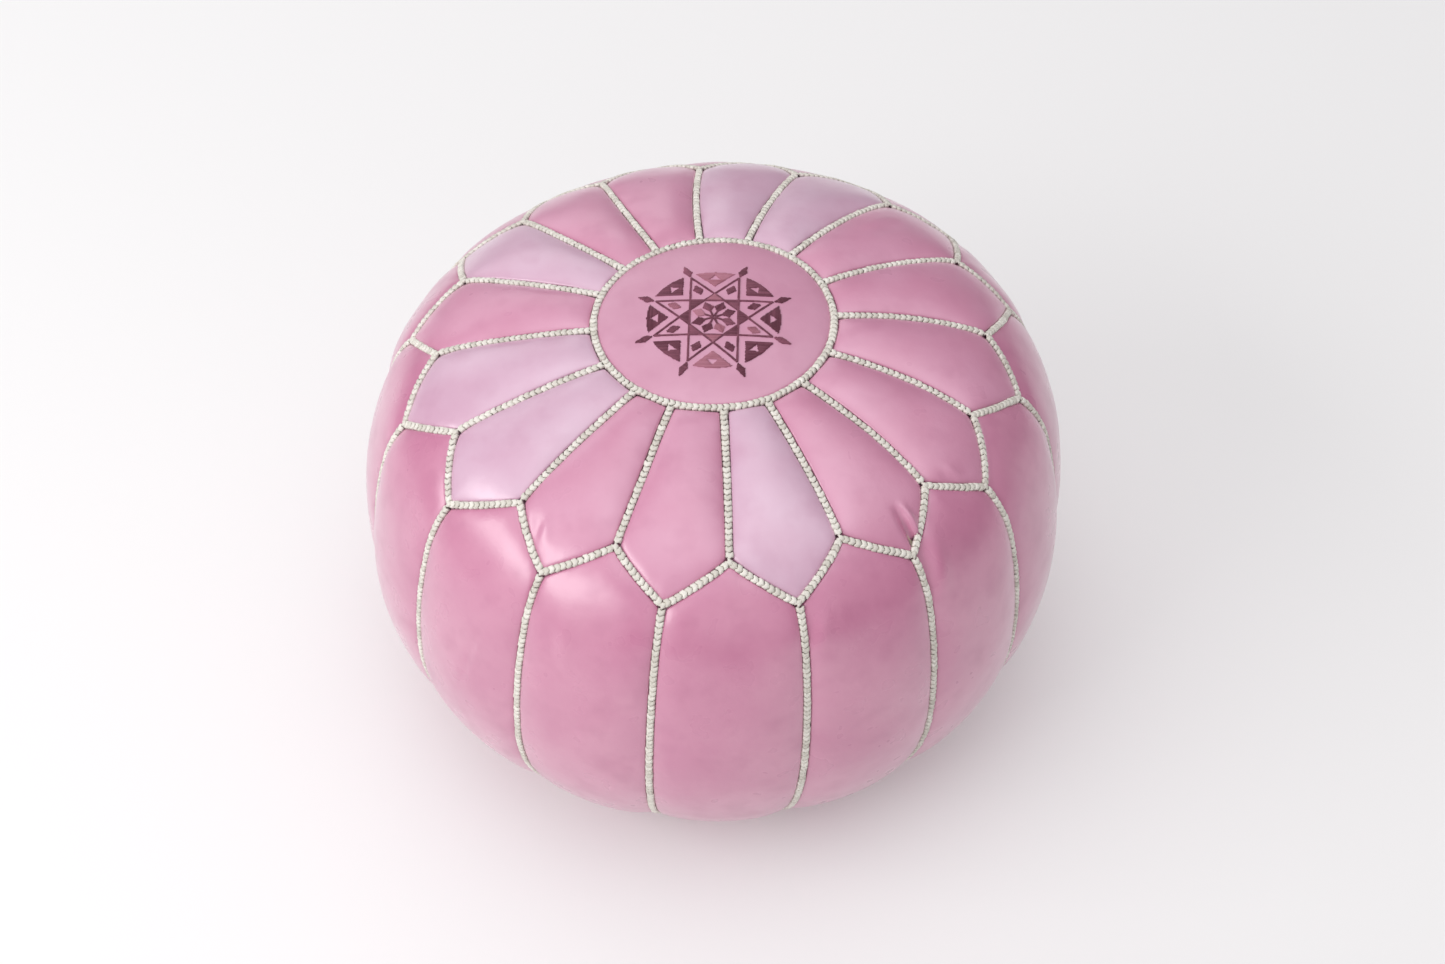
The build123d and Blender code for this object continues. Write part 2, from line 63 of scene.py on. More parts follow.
PANELS = 16
STEP = 2 * math.pi / PANELS
FRONT = -math.pi / 2
MEDALLION_RADIUS = 89.0 * MM
SEAM_PEAK_RADIUS = 201.0 * MM
PETAL_TIP_RADIUS = 228.0 * MM
ARC_POINTS, LIP_POINTS = 200, 30


def sine(degrees):
    return math.sin(math.radians(degrees))


def cosine(degrees):
    return math.cos(math.radians(degrees))


def meridian_line():
    """Closely spaced points of the meridian: distance from the crown, radius, height and slope."""
    shoulder_r = DOME_RADIUS * sine(DOME_END) + SHOULDER_RADIUS * (sine(SHOULDER_END) - sine(DOME_END))
    side = (RADIUS - shoulder_r) / (1 - sine(SHOULDER_END))
    drop = DOME_RADIUS * (1 - cosine(DOME_END)) + side * cosine(SHOULDER_END)
    drop += SHOULDER_RADIUS * (cosine(DOME_END) - cosine(SHOULDER_END))
    underside = (HEIGHT - drop - FOOT_RADIUS * (cosine(UNDERSIDE_END) + 1)) / -cosine(UNDERSIDE_END)
    arcs = [
        (DOME_RADIUS, 0, DOME_END),
        (SHOULDER_RADIUS, DOME_END, SHOULDER_END),
        (side, SHOULDER_END, 90),
        (underside, 90, UNDERSIDE_END),
        (FOOT_RADIUS, UNDERSIDE_END, 180),
    ]
    r, z, slope = [0.0], [HEIGHT], [0.0]
    for radius, first, last in arcs:
        angles = np.radians(np.linspace(first, last, ARC_POINTS)[1:])
        r0, z0, start = r[-1], z[-1], math.radians(first)
        r += list(r0 + radius * (np.sin(angles) - math.sin(start)))
        z += list(z0 - radius * (math.cos(start) - np.cos(angles)))
        slope += list(angles)
    lip = math.pi + math.atan2(BASE_HEIGHT, LIP_FOOT_RADIUS - BASE_RADIUS)
    for end_r, end_z, angle in ((LIP_FOOT_RADIUS, 0, math.pi), (BASE_RADIUS, BASE_HEIGHT, lip)):
        r += list(np.linspace(r[-1], end_r, LIP_POINTS)[1:])
        z += list(np.linspace(z[-1], end_z, LIP_POINTS)[1:])
        slope += [angle] * (LIP_POINTS - 1)
    r, z, slope = np.array(r), np.array(z), np.array(slope)
    along = np.concatenate([[0], np.cumsum(np.hypot(np.diff(r), np.diff(z)))])
    return along, r, z, slope


LINE_S, LINE_R, LINE_Z, LINE_SLOPE = meridian_line()
WIDEST = int(np.argmax(LINE_R))


def distance_at(radius):
    """Distance from the crown, down the meridian, to that radius above the widest point."""
    return float(np.interp(radius, LINE_R[: WIDEST + 1], LINE_S[: WIDEST + 1]))


S_RING = distance_at(MEDALLION_RADIUS)
S_PEAK = distance_at(SEAM_PEAK_RADIUS)
S_TIP = distance_at(PETAL_TIP_RADIUS)
FOOT = 5 * (ARC_POINTS - 1) + 1
S_FOOT = float(np.interp(math.pi - 1e-6, LINE_SLOPE[:FOOT], LINE_S[:FOOT]))
S_BASE = float(LINE_S[-1])

# The maker's hand: how far each junction strays from its even place, in millimetres, outwards and
# then along the seam's row, with the front one first and the rest going towards +X.
PEAK_OUT = [2, 0, -3, -6, -2, 4, 8, 1, -2, 7, 6, 4, 4, 1, 0, 0]
PEAK_ALONG = [2, 1, -2, -4, 3, 6, 9, 8, 6, 5, -2, -3, -4, -1, 4, 3]
TIP_OUT = [2, -1, -4, -6, 4, 3, 4, 0, 2, 3, 2, 4, 6, 2, 1, 0]
TIP_ALONG = [3, 2.5, -5, -3, 6, 5, 3, 1, -1, 1, 2, 5, 0, -1, 2, 1]
RING_ALONG = [2, 0, -2, 0, 4, 5.5, 8, 8.5, 9, 8, 4, 1, 3, 4, 4, -1]
RING_OUT = [-5, -5, -5.5, -5, -3.5, -2, -0.5, -0.5, -0.5, -1, -0.5, 0, -0.5, -1.5, -2.5, -3.5]
# How far each seam bows sideways between its ends.
PETAL_BOW = [0, 1, 3, 3.5, 3, 3, 2, 1, 1, 0, 0, -0.5, -1.5, -1.5, -1, 1.5]
SIDE_BOW = [3, 2.5, 4, 3, 1, 0, 2, -1, 1, 0, 1, 0, 0, -1, -2, -2]
# The side panels lean a little round the base, in millimetres at its rim.
BASE_TURN = -3.0
# The pouf leans a little, by these shares of its height.
LEAN_X, LEAN_Y = 0.018, 0.010
# The filling is fuller towards the back on the right: how much higher the shoulder is there.
FULLER_RISE, FULLER_AZIMUTH = 4.0 * MM, math.radians(40)
# How far the lacing pulls the seams in.
SEAM_SINK = 1.0 * MM


def around(values, position):
    """Periodic smooth reading of a list round the pouf, at positions counted in its own steps."""
    values = np.asarray(values, float)
    count = len(values)
    base = np.floor(position).astype(int)
    t = position - base
    p0, p1, p2, p3 = (values[(base + k) % count] for k in (-1, 0, 1, 2))
    return p1 + 0.5 * t * (p2 - p0 + t * (2 * p0 - 5 * p1 + 4 * p2 - p3 + t * (3 * (p1 - p2) + p3 - p0)))


def linear_around(values, position):
    """The same in straight steps, for seams that run straight between their junctions."""
    values = np.asarray(values, float)
    base = np.floor(position).astype(int)
    t = position - base
    return values[base % len(values)] * (1 - t) + values[(base + 1) % len(values)] * t


def lay_on(s, azimuth, lift=0.0):
    """Points of the even cover at distances s and azimuths, raised by lift, with the pouf's lean."""
    r, z, slope = (np.interp(s, LINE_S, line) for line in (LINE_R, LINE_Z, LINE_SLOPE))
    r = r + lift * np.sin(slope)
    z = z + lift * np.cos(slope)
    x, y = r * np.cos(azimuth), r * np.sin(azimuth)
    fuller = np.maximum(np.cos(azimuth - FULLER_AZIMUTH), 0) ** 2 * r / RADIUS * z / HEIGHT
    return np.stack([x + LEAN_X * z, y + LEAN_Y * z, z + FULLER_RISE * fuller], -1)


# ---------------------------------------------------------------------------------------------
# Finishes
# ---------------------------------------------------------------------------------------------
def colour(code):
    """An sRGB hex colour as linear RGBA."""
    parts = [int(code[i : i + 2], 16) / 255 for i in (1, 3, 5)]
    linear = [c / 12.92 if c <= 0.04045 else ((c + 0.055) / 1.055) ** 2.4 for c in parts]
    return (*linear, 1.0)


def add_node(tree, kind, settings=None, links=None):
    """Adds a node; settings are its properties or socket values, links go from outputs to its inputs."""
    made = tree.nodes.new(kind)
    for key, value in (settings or {}).items():
        if isinstance(key, int) or key in made.inputs:
            made.inputs[key].default_value = value
        else:
            setattr(made, key, value)
    for key, source in (links or {}).items():
        tree.links.new(source, made.inputs[key])
    return made


def new_material(name):
    """An empty material with its node tree, its shader and the Object coordinates."""
    material = bpy.data.materials.new(name)
    material.use_nodes = True
    tree = material.node_tree
    tree.nodes.clear()
    shader = add_node(tree, "ShaderNodeBsdfPrincipled")
    output = add_node(tree, "ShaderNodeOutputMaterial")
    tree.links.new(shader.outputs[0], output.inputs[0])
    place = add_node(tree, "ShaderNodeTexCoord").outputs["Object"]
    return material, tree, shader, place


def per_metre(millimetres):
    """The texture scale that gives a pattern of that size."""
    return 1.0 / (millimetres * MM)


def waxed_leather(name, main, deep, pale, roughness):
    """Vegetable-tanned goat leather, dyed by hand and waxed: patchy colour, pores, soft creases and a soft
    window shine. It is a little deeper towards the laced edges, and darker still down in the turned edges,
    from the raw edge's brown and painted shade."""
    material, tree, shader, place = new_material(name)
    # The dye took paler in places some 55 mm wide, and deeper in blotches of some 22 mm.
    cloud = add_node(tree, "ShaderNodeTexNoise", {"Scale": per_metre(55), "Detail": 4.0}, {"Vector": place})
    patch = add_node(tree, "ShaderNodeTexNoise", {"Scale": per_metre(22), "Detail": 2.0}, {"Vector": place})
    paler = add_node(
        tree,
        "ShaderNodeMapRange",
        {"From Min": 0.35, "From Max": 0.68},
        {"Value": cloud.outputs["Fac"]},
    )
    clouded = add_node(
        tree,
        "ShaderNodeMix",
        {"data_type": "RGBA", 6: colour(main), 7: colour(pale)},
        {0: paler.outputs[0]},
    )
    blotch = add_node(
        tree,
        "ShaderNodeMapRange",
        {"From Min": 0.52, "From Max": 0.80, "To Max": 0.45},
        {"Value": patch.outputs["Fac"]},
    )
    blotched = add_node(
        tree,
        "ShaderNodeMix",
        {"data_type": "RGBA", 7: colour(deep)},
        {0: blotch.outputs[0], 6: clouded.outputs[2]},
    )
    edge = add_node(tree, "ShaderNodeAttribute", {"attribute_name": "edge"})
    # The leather is a little deeper towards the laced edges.
    toward_edges = add_node(
        tree,
        "ShaderNodeMapRange",
        {"From Min": 0.25, "From Max": 1.0, "To Max": 0.62},
        {"Value": edge.outputs["Fac"]},
    )
    edged = add_node(
        tree,
        "ShaderNodeMix",
        {"data_type": "RGBA", 7: colour(deep)},
        {0: toward_edges.outputs[0], 6: blotched.outputs[2]},
    )
    # Down in the turned edges beside the braid the leather darkens: partly the raw cut edge's own brown,
    # partly painted shade under the braid.
    groove_shade_and_raw_edge = add_node(
        tree,
        "ShaderNodeMapRange",
        {"From Min": 0.965, "From Max": 1.0, "To Max": 0.65},
        {"Value": edge.outputs["Fac"]},
    )
    with_groove_shade_and_raw_edge = add_node(
        tree,
        "ShaderNodeMix",
        {"data_type": "RGBA", 7: colour("#80525A")},
        {0: groove_shade_and_raw_edge.outputs[0], 6: edged.outputs[2]},
    )
    tree.links.new(with_groove_shade_and_raw_edge.outputs[2], shader.inputs["Base Color"])
    # Wax lies unevenly, so the shine varies a little over a few centimetres.
    rub = add_node(
        tree,
        "ShaderNodeMapRange",
        {"From Min": 0.3, "From Max": 0.7, "To Min": roughness - 0.05, "To Max": roughness + 0.09},
        {"Value": patch.outputs["Fac"]},
    )
    tree.links.new(rub.outputs[0], shader.inputs["Roughness"])
    # Soft creases, then the grain's unevenness, then pores. Pores are about 1 mm apart; they are
    # drawn at 2.2 mm so that they show.
    crease = add_node(tree, "ShaderNodeTexNoise", {"Scale": per_metre(26), "Detail": 1.0}, {"Vector": place})
    grain = add_node(tree, "ShaderNodeTexNoise", {"Scale": per_metre(5), "Detail": 1.0}, {"Vector": place})
    pores = add_node(tree, "ShaderNodeTexVoronoi", {"Scale": per_metre(2.2)}, {"Vector": place})
    creased = add_node(
        tree, "ShaderNodeBump", {"Strength": 0.22, "Distance": 1.2 * MM}, {"Height": crease.outputs["Fac"]}
    )
    grained = add_node(
        tree,
        "ShaderNodeBump",
        {"Strength": 0.25, "Distance": 0.6 * MM},
        {"Height": grain.outputs["Fac"], "Normal": creased.outputs[0]},
    )
    pored = add_node(
        tree,
        "ShaderNodeBump",
        {"Strength": 0.08, "Distance": 0.3 * MM},
        {"Height": pores.outputs["Distance"], "Normal": grained.outputs[0]},
    )
    tree.links.new(pored.outputs[0], shader.inputs["Normal"])
    shader.inputs["IOR"].default_value = 1.5
    shader.inputs["Sheen Weight"].default_value = 0.06
    shader.inputs["Sheen Roughness"].default_value = 0.5
    shader.inputs["Coat Weight"].default_value = 1.0
    shader.inputs["Coat IOR"].default_value = 1.62
    shader.inputs["Coat Roughness"].default_value = 0.29
    return material


def twisted_thread(name, dark, light, pitch=1.1, roughness=0.62):
    """Plied thread: each stitch's own tone, a little dust, and the plies as fine unevenness."""
    material, tree, shader, place = new_material(name)
    tone = add_node(tree, "ShaderNodeAttribute", {"attribute_name": "tone"})
    dust = add_node(tree, "ShaderNodeTexNoise", {"Scale": per_metre(7), "Detail": 3.0}, {"Vector": place})
    centred = add_node(
        tree,
        "ShaderNodeMath",
        {"operation": "MULTIPLY_ADD", 1: 0.5, 2: -0.25},
        {0: dust.outputs["Fac"]},
    )
    share = add_node(
        tree,
        "ShaderNodeMath",
        {"operation": "ADD", "use_clamp": True},
        {0: tone.outputs["Fac"], 1: centred.outputs[0]},
    )
    mixed = add_node(
        tree,
        "ShaderNodeMix",
        {"data_type": "RGBA", 6: colour(dark), 7: colour(light)},
        {0: share.outputs[0]},
    )
    tree.links.new(mixed.outputs[2], shader.inputs["Base Color"])
    plies = add_node(
        tree, "ShaderNodeTexNoise", {"Scale": per_metre(pitch), "Detail": 2.0}, {"Vector": place}
    )
    bump = add_node(
        tree, "ShaderNodeBump", {"Strength": 0.5, "Distance": 0.3 * MM}, {"Height": plies.outputs["Fac"]}
    )
    tree.links.new(bump.outputs[0], shader.inputs["Normal"])
    shader.inputs["Roughness"].default_value = roughness
    shader.inputs["Sheen Weight"].default_value = 0.08
    return material


def plain_brass(name):
    """Stamped brass, tumbled rather than polished: warm, a little dulled and finely worn."""
    material, tree, shader, place = new_material(name)
    wear = add_node(tree, "ShaderNodeTexNoise", {"Scale": per_metre(3), "Detail": 5.0}, {"Vector": place})
    mixed = add_node(
        tree,
        "ShaderNodeMix",
        {"data_type": "RGBA", 6: colour("#C9A25B"), 7: colour("#A07A3C")},
        {0: wear.outputs["Fac"]},
    )
    tree.links.new(mixed.outputs[2], shader.inputs["Base Color"])
    rough = add_node(
        tree, "ShaderNodeMapRange", {"To Min": 0.22, "To Max": 0.42}, {"Value": wear.outputs["Fac"]}
    )
    tree.links.new(rough.outputs[0], shader.inputs["Roughness"])
    bump = add_node(
        tree, "ShaderNodeBump", {"Strength": 0.15, "Distance": 0.1 * MM}, {"Height": wear.outputs["Fac"]}
    )
    tree.links.new(bump.outputs[0], shader.inputs["Normal"])
    shader.inputs["Metallic"].default_value = 1.0
    return material


def woven_cloth(name, main, deep, thread):
    """Plain weave: warp and weft ribs at the thread spacing, slubs and a dry, matt surface."""
    material, tree, shader, place = new_material(name)
    ribs = []
    for direction in ("X", "Y"):
        rib = add_node(
            tree,
            "ShaderNodeTexWave",
            {"bands_direction": direction, "Scale": per_metre(thread * 2 * math.pi), "Distortion": 0.4},
            {"Vector": place},
        )
        ribs.append(rib.outputs["Fac"])
    weave = add_node(tree, "ShaderNodeMath", {"operation": "MULTIPLY"}, {0: ribs[0], 1: ribs[1]})
    slub = add_node(tree, "ShaderNodeTexNoise", {"Scale": per_metre(9), "Detail": 4.0}, {"Vector": place})
    share = add_node(
        tree, "ShaderNodeMath", {"operation": "MULTIPLY"}, {0: weave.outputs[0], 1: slub.outputs["Fac"]}
    )
    mixed = add_node(
        tree,
        "ShaderNodeMix",
        {"data_type": "RGBA", 6: colour(deep), 7: colour(main)},
        {0: share.outputs[0]},
    )
    tree.links.new(mixed.outputs[2], shader.inputs["Base Color"])
    bump = add_node(
        tree, "ShaderNodeBump", {"Strength": 0.4, "Distance": 0.3 * MM}, {"Height": weave.outputs[0]}
    )
    tree.links.new(bump.outputs[0], shader.inputs["Normal"])
    shader.inputs["Roughness"].default_value = 0.85
    shader.inputs["Sheen Weight"].default_value = 0.3
    return material


LEATHER_MEDALLION = waxed_leather("waxed_leather_medallion", "#D08EAA", "#C5819E", "#D79AB4", 0.42)
LEATHER_PINK = waxed_leather("waxed_leather_pink", "#D28AA8", "#C37898", "#D998B4", 0.32)
LEATHER_LILAC = waxed_leather("waxed_leather_lilac", "#D5A8C0", "#C792AE", "#DCB7CC", 0.34)
LEATHER_SIDE = waxed_leather("waxed_leather_side", "#C97B9D", "#BA6B8E", "#D38CA9", 0.30)
LEATHER_BASE = waxed_leather("waxed_leather_base", "#C585A4", "#B57496", "#CE93AF", 0.46)
ECRU_THREAD = twisted_thread("ecru_cotton_braid", "#BBB4A6", "#F0ECE2")
PLUM_THREAD = twisted_thread("plum_embroidery_silk", "#64293D", "#9E5C72", 0.8, 0.6)
ROSE_THREAD = twisted_thread("rose_embroidery_silk", "#94505F", "#B97A8C", 0.8, 0.6)
BRASS = plain_brass("stamped_brass")
ZIP_TAPE = woven_cloth("woven_zip_tape", "#C493A9", "#A5738B", 0.5)
CALICO = woven_cloth("unbleached_calico", "#E6DDC8", "#CFC3A8", 0.8)
COTTON = woven_cloth("cotton_waste", "#E9E4DA", "#CFC6B8", 2.5)


# ---------------------------------------------------------------------------------------------
# Small mesh helpers
# ---------------------------------------------------------------------------------------------
def link(name, mesh):
    """A mesh as an object in the scene."""
    made = bpy.data.objects.new(name, mesh)
    bpy.context.scene.collection.objects.link(made)
    return made


def grid_mesh(name, points, closed=False):
    """A mesh of quads from an array of points, rows by columns; closed joins the last column to the
    first. The faces point outwards where rows go down the pouf and columns go round it."""
    rows, columns = points.shape[:2]
    index = np.arange(rows * columns).reshape(rows, columns)
    if closed:
        index = np.concatenate([index, index[:, :1]], 1)
    corners = [index[:-1, :-1], index[1:, :-1], index[1:, 1:], index[:-1, 1:]]
    faces = np.stack(corners, -1).reshape(-1, 4)
    mesh = bpy.data.meshes.new(name)
    mesh.from_pydata(points.reshape(-1, 3).tolist(), [], faces.tolist())
    mesh.update()
    return mesh


def only(obj):
    """Makes obj the one selected and active object, in object mode."""
    bpy.ops.object.select_all(action="DESELECT")
    obj.select_set(True)
    bpy.context.view_layer.objects.active = obj


def thicken(obj, thickness):
    """Gives a sheet its thickness on its inner side, as a closed wall."""
    solid = obj.modifiers.new("Thickness", "SOLIDIFY")
    solid.thickness = thickness
    solid.offset = -1
    only(obj)
    bpy.ops.object.modifier_apply(modifier=solid.name)


def mark_points(mesh, name, values):
    """Stores one number for each point of a mesh, for its material to read."""
    attribute = mesh.attributes.new(name, "FLOAT", "POINT")
    attribute.data.foreach_set("value", np.asarray(values).reshape(-1))


def dress(obj, material):
    """Gives an object that one material."""
    obj.data.materials.clear()
    obj.data.materials.append(material)


def finish(obj, material, node):
    """Gives a finished piece of the pouf its finish and smooth shading, puts it in the pouf's body and hides
    the CAD node that it stands for.
    """
    dress(obj, material)
    obj.data.polygons.foreach_set("use_smooth", [True] * len(obj.data.polygons))
    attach(obj, "pouf")
    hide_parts(node)


# ---------------------------------------------------------------------------------------------
# The cover: one skin, laced at its seams and blown up from inside
# ---------------------------------------------------------------------------------------------
COLUMNS = 16
PETAL_ROWS = 22
SIDE_ROWS = 66
ZIGZAG_ROW = PETAL_ROWS
TOTAL_COLUMNS = PANELS * COLUMNS
LAST_ROW = PETAL_ROWS + SIDE_ROWS
# The petals' bow is widest half way, and the side seams' a third of the way down.
PETAL_BOW_RADIUS = SEAM_PEAK_RADIUS / 1.35
SIDE_BOW_POWER = 0.6
PRESSURE = 430.0
FRAMES = 20
PUFF_LIMIT = 9.0 * MM


def stray(column):
    """How each column strays at the ring, at the zigzag and at the base: outwards and along, in metres."""
    seam = column / COLUMNS
    vertex = column / (COLUMNS / 2)
    out = np.empty(2 * PANELS)
    along = np.empty(2 * PANELS)
    out[0::2], out[1::2] = PEAK_OUT, TIP_OUT
    along[0::2], along[1::2] = PEAK_ALONG, TIP_ALONG
    at_ring = around(RING_OUT, seam) * MM, around(RING_ALONG, seam) * MM
    at_zigzag = linear_around(out, vertex) * MM, linear_around(along, vertex) * MM
    at_base = 0 * seam, (around(TIP_ALONG, seam - 0.5) * 0.5 + BASE_TURN) * MM
    return at_ring, at_zigzag, at_base


def cover_plan():
    """Distance down the meridian and azimuth of every point of the skin, rows by columns."""
    column = np.arange(TOTAL_COLUMNS, dtype=float)
    azimuth = FRONT + column * STEP / COLUMNS
    ring, zigzag, base = stray(column)
    share = np.abs((column / COLUMNS + 0.5) % 1 - 0.5) * 2
    s_zigzag = S_PEAK + (S_TIP - S_PEAK) * share + zigzag[0]
    s_rows, a_rows = [], []
    for row in range(LAST_ROW + 1):
        if row <= ZIGZAG_ROW:
            t = row / PETAL_ROWS
            s = (S_RING + ring[0]) * (1 - t) + s_zigzag * t
            turn = ring[1] / MEDALLION_RADIUS * (1 - t) + zigzag[1] / PETAL_TIP_RADIUS * t
            bow = around(PETAL_BOW, column / COLUMNS) * MM * math.sin(math.pi * t)
            turn = turn + bow / PETAL_BOW_RADIUS
        else:
            t = (row - ZIGZAG_ROW) / SIDE_ROWS
            s = s_zigzag * (1 - t) + S_BASE * t
            turn = zigzag[1] / PETAL_TIP_RADIUS * (1 - t) + base[1] / BASE_RADIUS * t
            bow = around(SIDE_BOW, column / COLUMNS - 0.5) * MM * math.sin(math.pi * t**SIDE_BOW_POWER)
            turn = turn + bow / RADIUS
        s_rows.append(s)
        a_rows.append(azimuth + turn)
    return np.array(s_rows), np.array(a_rows)


def seam_mask():
    """Which points of the skin lie on a seam."""
    mask = np.zeros((LAST_ROW + 1, TOTAL_COLUMNS), bool)
    mask[[0, ZIGZAG_ROW, -1], :] = True
    mask[:ZIGZAG_ROW, 0::COLUMNS] = True
    mask[ZIGZAG_ROW:, COLUMNS // 2 :: COLUMNS] = True
    return mask


def blow_up(points, mask):
    """Runs the cloth simulation on the skin, held along its seams, and returns the moved points."""
    mesh = grid_mesh("skin", points, closed=True)
    skin = link("skin", mesh)
    held = skin.vertex_groups.new(name="held")
    held.add(np.flatnonzero(mask.reshape(-1)).tolist(), 1.0, "REPLACE")
    cloth = skin.modifiers.new("Cloth", "CLOTH")
    cloth.settings.vertex_group_mass = "held"
    cloth.settings.quality = 6
    cloth.settings.mass = 0.01
    cloth.settings.tension_stiffness = 12
    cloth.settings.compression_stiffness = 12
    cloth.settings.shear_stiffness = 5
    cloth.settings.bending_stiffness = 0.5
    cloth.settings.use_pressure = True
    cloth.settings.uniform_pressure_force = PRESSURE
    cloth.settings.effector_weights.gravity = 0
    cloth.collision_settings.use_collision = False
    cloth.point_cache.frame_start = 1
    cloth.point_cache.frame_end = FRAMES
    for step in range(1, FRAMES + 1):
        bpy.context.scene.frame_set(step)
    graph = bpy.context.evaluated_depsgraph_get()
    moved = skin.evaluated_get(graph).to_mesh()
    flat = np.empty(len(moved.vertices) * 3)
    moved.vertices.foreach_get("co", flat)
    skin.evaluated_get(graph).to_mesh_clear()
    bpy.data.objects.remove(skin)
    bpy.context.scene.frame_set(1)
    shift = flat.reshape(points.shape) - points
    length = np.linalg.norm(shift, axis=-1, keepdims=True)
    shift *= np.minimum(1, PUFF_LIMIT / np.maximum(length, 1e-9))
    return points + shift


S_PLAN, A_PLAN = cover_plan()
SKIN_START = lay_on(S_PLAN, A_PLAN, -SEAM_SINK)
SKIN_START[..., 2] = np.maximum(SKIN_START[..., 2], 0.2 * MM)
SKIN = blow_up(SKIN_START, seam_mask())
SKIN[..., 2] = np.maximum(SKIN[..., 2], 0.0)


def smooth_read(values, positions):
    """Reads rows of values at fractional positions by Catmull-Rom; the ends are carried on straight."""
    values = np.concatenate([2 * values[:1] - values[1:2], values, 2 * values[-1:] - values[-2:-1]])
    positions = np.clip(positions, 0, len(values) - 3 - 1e-9)
    base = np.floor(positions).astype(int)
    t = (positions - base).reshape(-1, *[1] * (values.ndim - 1))
    p0, p1, p2, p3 = (values[base + k] for k in range(4))
    return p1 + 0.5 * t * (p2 - p0 + t * (2 * p0 - 5 * p1 + 4 * p2 - p3 + t * (3 * (p1 - p2) + p3 - p0)))


# Distances from a seam at which a panel has an edge line, in millimetres, so that its rolled edge is
# smooth; past the last one the lines are evenly spaced.
EDGE_LINES = [0, 2.3, 2.55, 2.8, 3.2, 3.7, 4.3, 5.2, 7.0]
ROLL_START, ROLL_END, ROLL_DEPTH = 2.3 * MM, 4.3 * MM, 1.2 * MM
# How far the leather rounds down towards a seam, and how far from it that starts.
SHOULDER_DROP, SHOULDER_REACH = 2.2 * MM, 8.0 * MM
# How far from the groove the deeper edge tone reaches.
EDGE_TONE_REACH = 3.2 * MM
# Slow unevenness over a panel, and quicker gathers near its seams: their size and height.
WAVE_SIZE, WAVE_HEIGHT = 45 * MM, 0.8 * MM
GATHER_SIZE, GATHER_HEIGHT, GATHER_REACH = 11 * MM, 0.45 * MM, 9 * MM
LEATHER = 1.8 * MM


def lines_across(width, inner):
    """Places from 0 to 1 across a panel of that width: close together at its edges, even between."""
    edges = np.array(EDGE_LINES) * MM / width
    middle = np.linspace(edges[-1], 1 - edges[-1], inner + 2)[1:-1]
    return np.concatenate([edges, middle, 1 - edges[::-1]])


def fine_panel(coarse, inner_rows, inner_columns, row_cosine):
    """A panel's fine grid from its coarse one, and each point's distance to the panel's seams."""
    rows, columns = coarse.shape[:2]
    middle = coarse[:, columns // 2]
    length = np.linalg.norm(np.diff(middle, axis=0), axis=1).sum()
    row_places = lines_across(length, inner_rows)
    by_row = smooth_read(coarse, row_places * (rows - 1))
    fine = []
    across = []
    for line in by_row:
        width = np.linalg.norm(np.diff(line, axis=0), axis=1).sum()
        places = lines_across(width, inner_columns)
        fine.append(smooth_read(line, places * (columns - 1)))
        across.append(np.minimum(places, 1 - places) * width)
    fine, across = np.array(fine), np.array(across)
    steps = np.linalg.norm(np.diff(fine, axis=0), axis=2)
    down = np.concatenate([np.zeros((1, fine.shape[1])), np.cumsum(steps, axis=0)])
    up = down[-1] - down
    return fine, across, down * row_cosine[0], up * row_cosine[1]


def roll_edges(points, across, down, up):
    """Sinks the panel's edges along quarter rounds beside the braids; returns points and closeness."""
    normal = surface_normals(points)
    near = [np.clip((ROLL_END - d) / (ROLL_END - ROLL_START), 0, 1) for d in (across, down, up)]
    together = np.clip(np.sqrt(sum(n**2 for n in near)), 0, 1)
    drop = ROLL_DEPTH * (1 - np.sqrt(1 - together**2))
    nearest = np.minimum(np.minimum(across, down), up)
    # Closeness to a seam sets the deeper edge tone and the painted shade down in the groove.
    closeness = np.exp(-np.maximum(nearest - ROLL_START - 0.1 * MM, 0) / EDGE_TONE_REACH)
    return points - normal * drop[..., None], closeness


def surface_normals(points):
    """Outward normals of a grid of points whose rows go down the pouf and columns go round it."""
    down = np.gradient(points, axis=0)
    along = np.gradient(points, axis=1)
    normal = np.cross(down, along)
    return normal / np.maximum(np.linalg.norm(normal, axis=-1, keepdims=True), 1e-12)


# Small folds where the leather was caught up in the lacing. Each has its panel, its place across
# and down the panel from 0 to 1, its direction in degrees from straight down, and its length,
# half-width and depth in millimetres.
PETAL_FOLDS = {
    1: [(0.57, 0.87, 3, 52, 2.9, 7.0), (0.63, 0.95, 5, 16, 2.0, 1.6)],
    2: [(0.30, 0.86, 20, 22, 3.5, 1.0)],
    5: [(0.55, 0.55, 10, 40, 6.0, 1.0)],
    14: [(0.35, 0.85, 18, 26, 4.5, 1.1)],
}
SIDE_FOLDS = {
    2: [(0.16, 0.10, -8, 60, 7.0, 2.0)],
    1: [(0.18, 0.12, -12, 34, 5.0, 1.0)],
    15: [(0.30, 0.20, 10, 50, 6.0, 0.9)],
    14: [(0.58, 0.34, -12, 80, 2.5, 0.7)],
}


def fold_in(points, normal, folds):
    """Presses each fold into a panel as a soft valley with a low ridge beside it."""
    rows, columns = points.shape[:2]
    for across, down, turn, length, half_width, depth in folds:
        r, c = int(down * (rows - 1)), int(across * (columns - 1))
        centre, up = points[r, c], normal[r, c]
        straight = points[min(r + 3, rows - 1), c] - points[max(r - 3, 0), c]
        straight -= up * straight.dot(up)
        straight /= np.linalg.norm(straight)
        sideways = np.cross(up, straight)
        angle = math.radians(turn)
        axis = straight * math.cos(angle) + sideways * math.sin(angle)
        beside = np.cross(up, axis)
        offset = points - centre
        u = offset @ axis / (length / 2 * MM)
        v = offset @ beside / (half_width * MM)
        body = np.clip(1 - u**2, 0, 1) ** 1.5
        profile = -np.exp(-(v**2)) + 0.7 * np.exp(-((v - 1.7) ** 2))
        near = np.linalg.norm(offset, axis=-1) < length * MM
        points = points + normal * (body * profile * depth * MM * near)[..., None]
    return points


